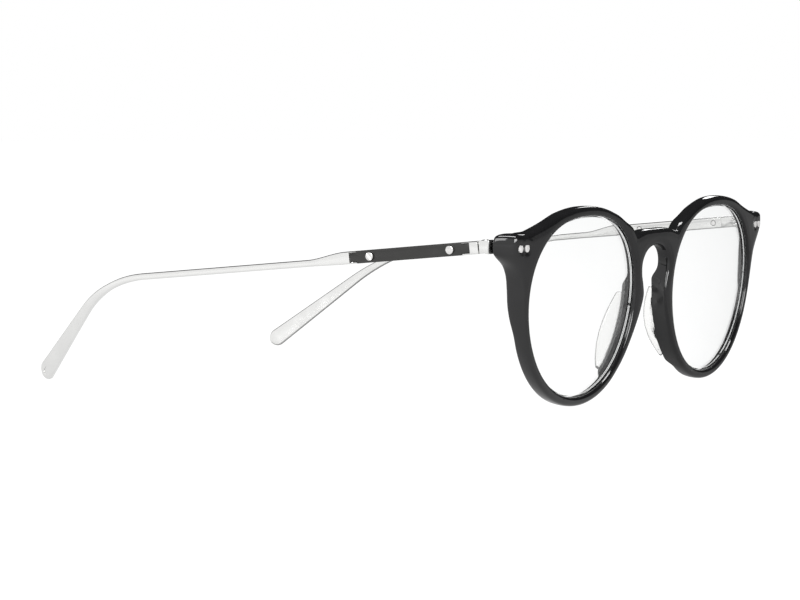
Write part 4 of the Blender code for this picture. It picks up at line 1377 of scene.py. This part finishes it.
def studio_light(name, place, aim, size, power):
    data = bpy.data.lights.new(name, "AREA")
    data.shape = "RECTANGLE"
    data.size, data.size_y = size
    data.energy = power
    light = bpy.data.objects.new(name, data)
    light.location = place
    light.rotation_euler = (Vector(aim) - Vector(place)).to_track_quat("-Z", "Y").to_euler()
    light.visible_camera = light.visible_transmission = False
    bpy.context.scene.collection.objects.link(light)


def studio_camera():
    data = bpy.data.cameras.new("camera")
    data.lens = CAMERA_LENS
    data.sensor_width = 36
    data.clip_start = 0.01
    camera = bpy.data.objects.new("camera", data)
    azimuth, elevation, roll = (math.radians(angle) for angle in CAMERA_ANGLES)
    camera.location = CAMERA_PLACE
    camera.rotation_euler = (
        Matrix.Rotation(azimuth, 4, "Z") @ Matrix.Rotation(math.pi / 2 - elevation, 4, "X")
        @ Matrix.Rotation(roll, 4, "Z")
    ).to_euler()
    bpy.context.scene.collection.objects.link(camera)
    bpy.context.scene.camera = camera


# ---------------------------------------------------------------- panel and registration

MAKING_ORDER = ("acetate_front", "lenses", "nose_pads", "rivets", "hinges", "temples", "inlays", "stage")


class EYEGLASSES_PT_panel(bpy.types.Panel):
    """Sizes, colours and the steps that make the eyeglasses"""
    bl_label = "Round Eyeglasses"
    bl_idname = "EYEGLASSES_PT_panel"
    bl_space_type = "VIEW_3D"
    bl_region_type = "UI"
    bl_category = "Eyeglasses"

    def draw(self, context):
        for settings in (context.scene.eyeglasses_sizes, context.scene.eyeglasses_colours):
            column = self.layout.column(align=True)
            for name in settings.__annotations__:
                column.prop(settings, name)
        for name in MAKING_ORDER:
            self.layout.operator(f"eyeglasses.{name}")


CLASSES = (
    EyeglassesSizes, EyeglassesColours, EYEGLASSES_OT_acetate_front, EYEGLASSES_OT_lenses,
    EYEGLASSES_OT_nose_pads, EYEGLASSES_OT_rivets, EYEGLASSES_OT_hinges, EYEGLASSES_OT_temples,
    EYEGLASSES_OT_inlays, EYEGLASSES_OT_stage, EYEGLASSES_PT_panel,
)


def register():
    for cls in CLASSES:
        bpy.utils.register_class(cls)
    bpy.types.Scene.eyeglasses_sizes = bpy.props.PointerProperty(type=EyeglassesSizes)
    bpy.types.Scene.eyeglasses_colours = bpy.props.PointerProperty(type=EyeglassesColours)


def unregister():
    del bpy.types.Scene.eyeglasses_colours
    del bpy.types.Scene.eyeglasses_sizes
    for cls in reversed(CLASSES):
        bpy.utils.unregister_class(cls)


def main():
    register()
    for name in MAKING_ORDER:
        getattr(bpy.ops.eyeglasses, name)()


if __name__ == "__main__":
    main()
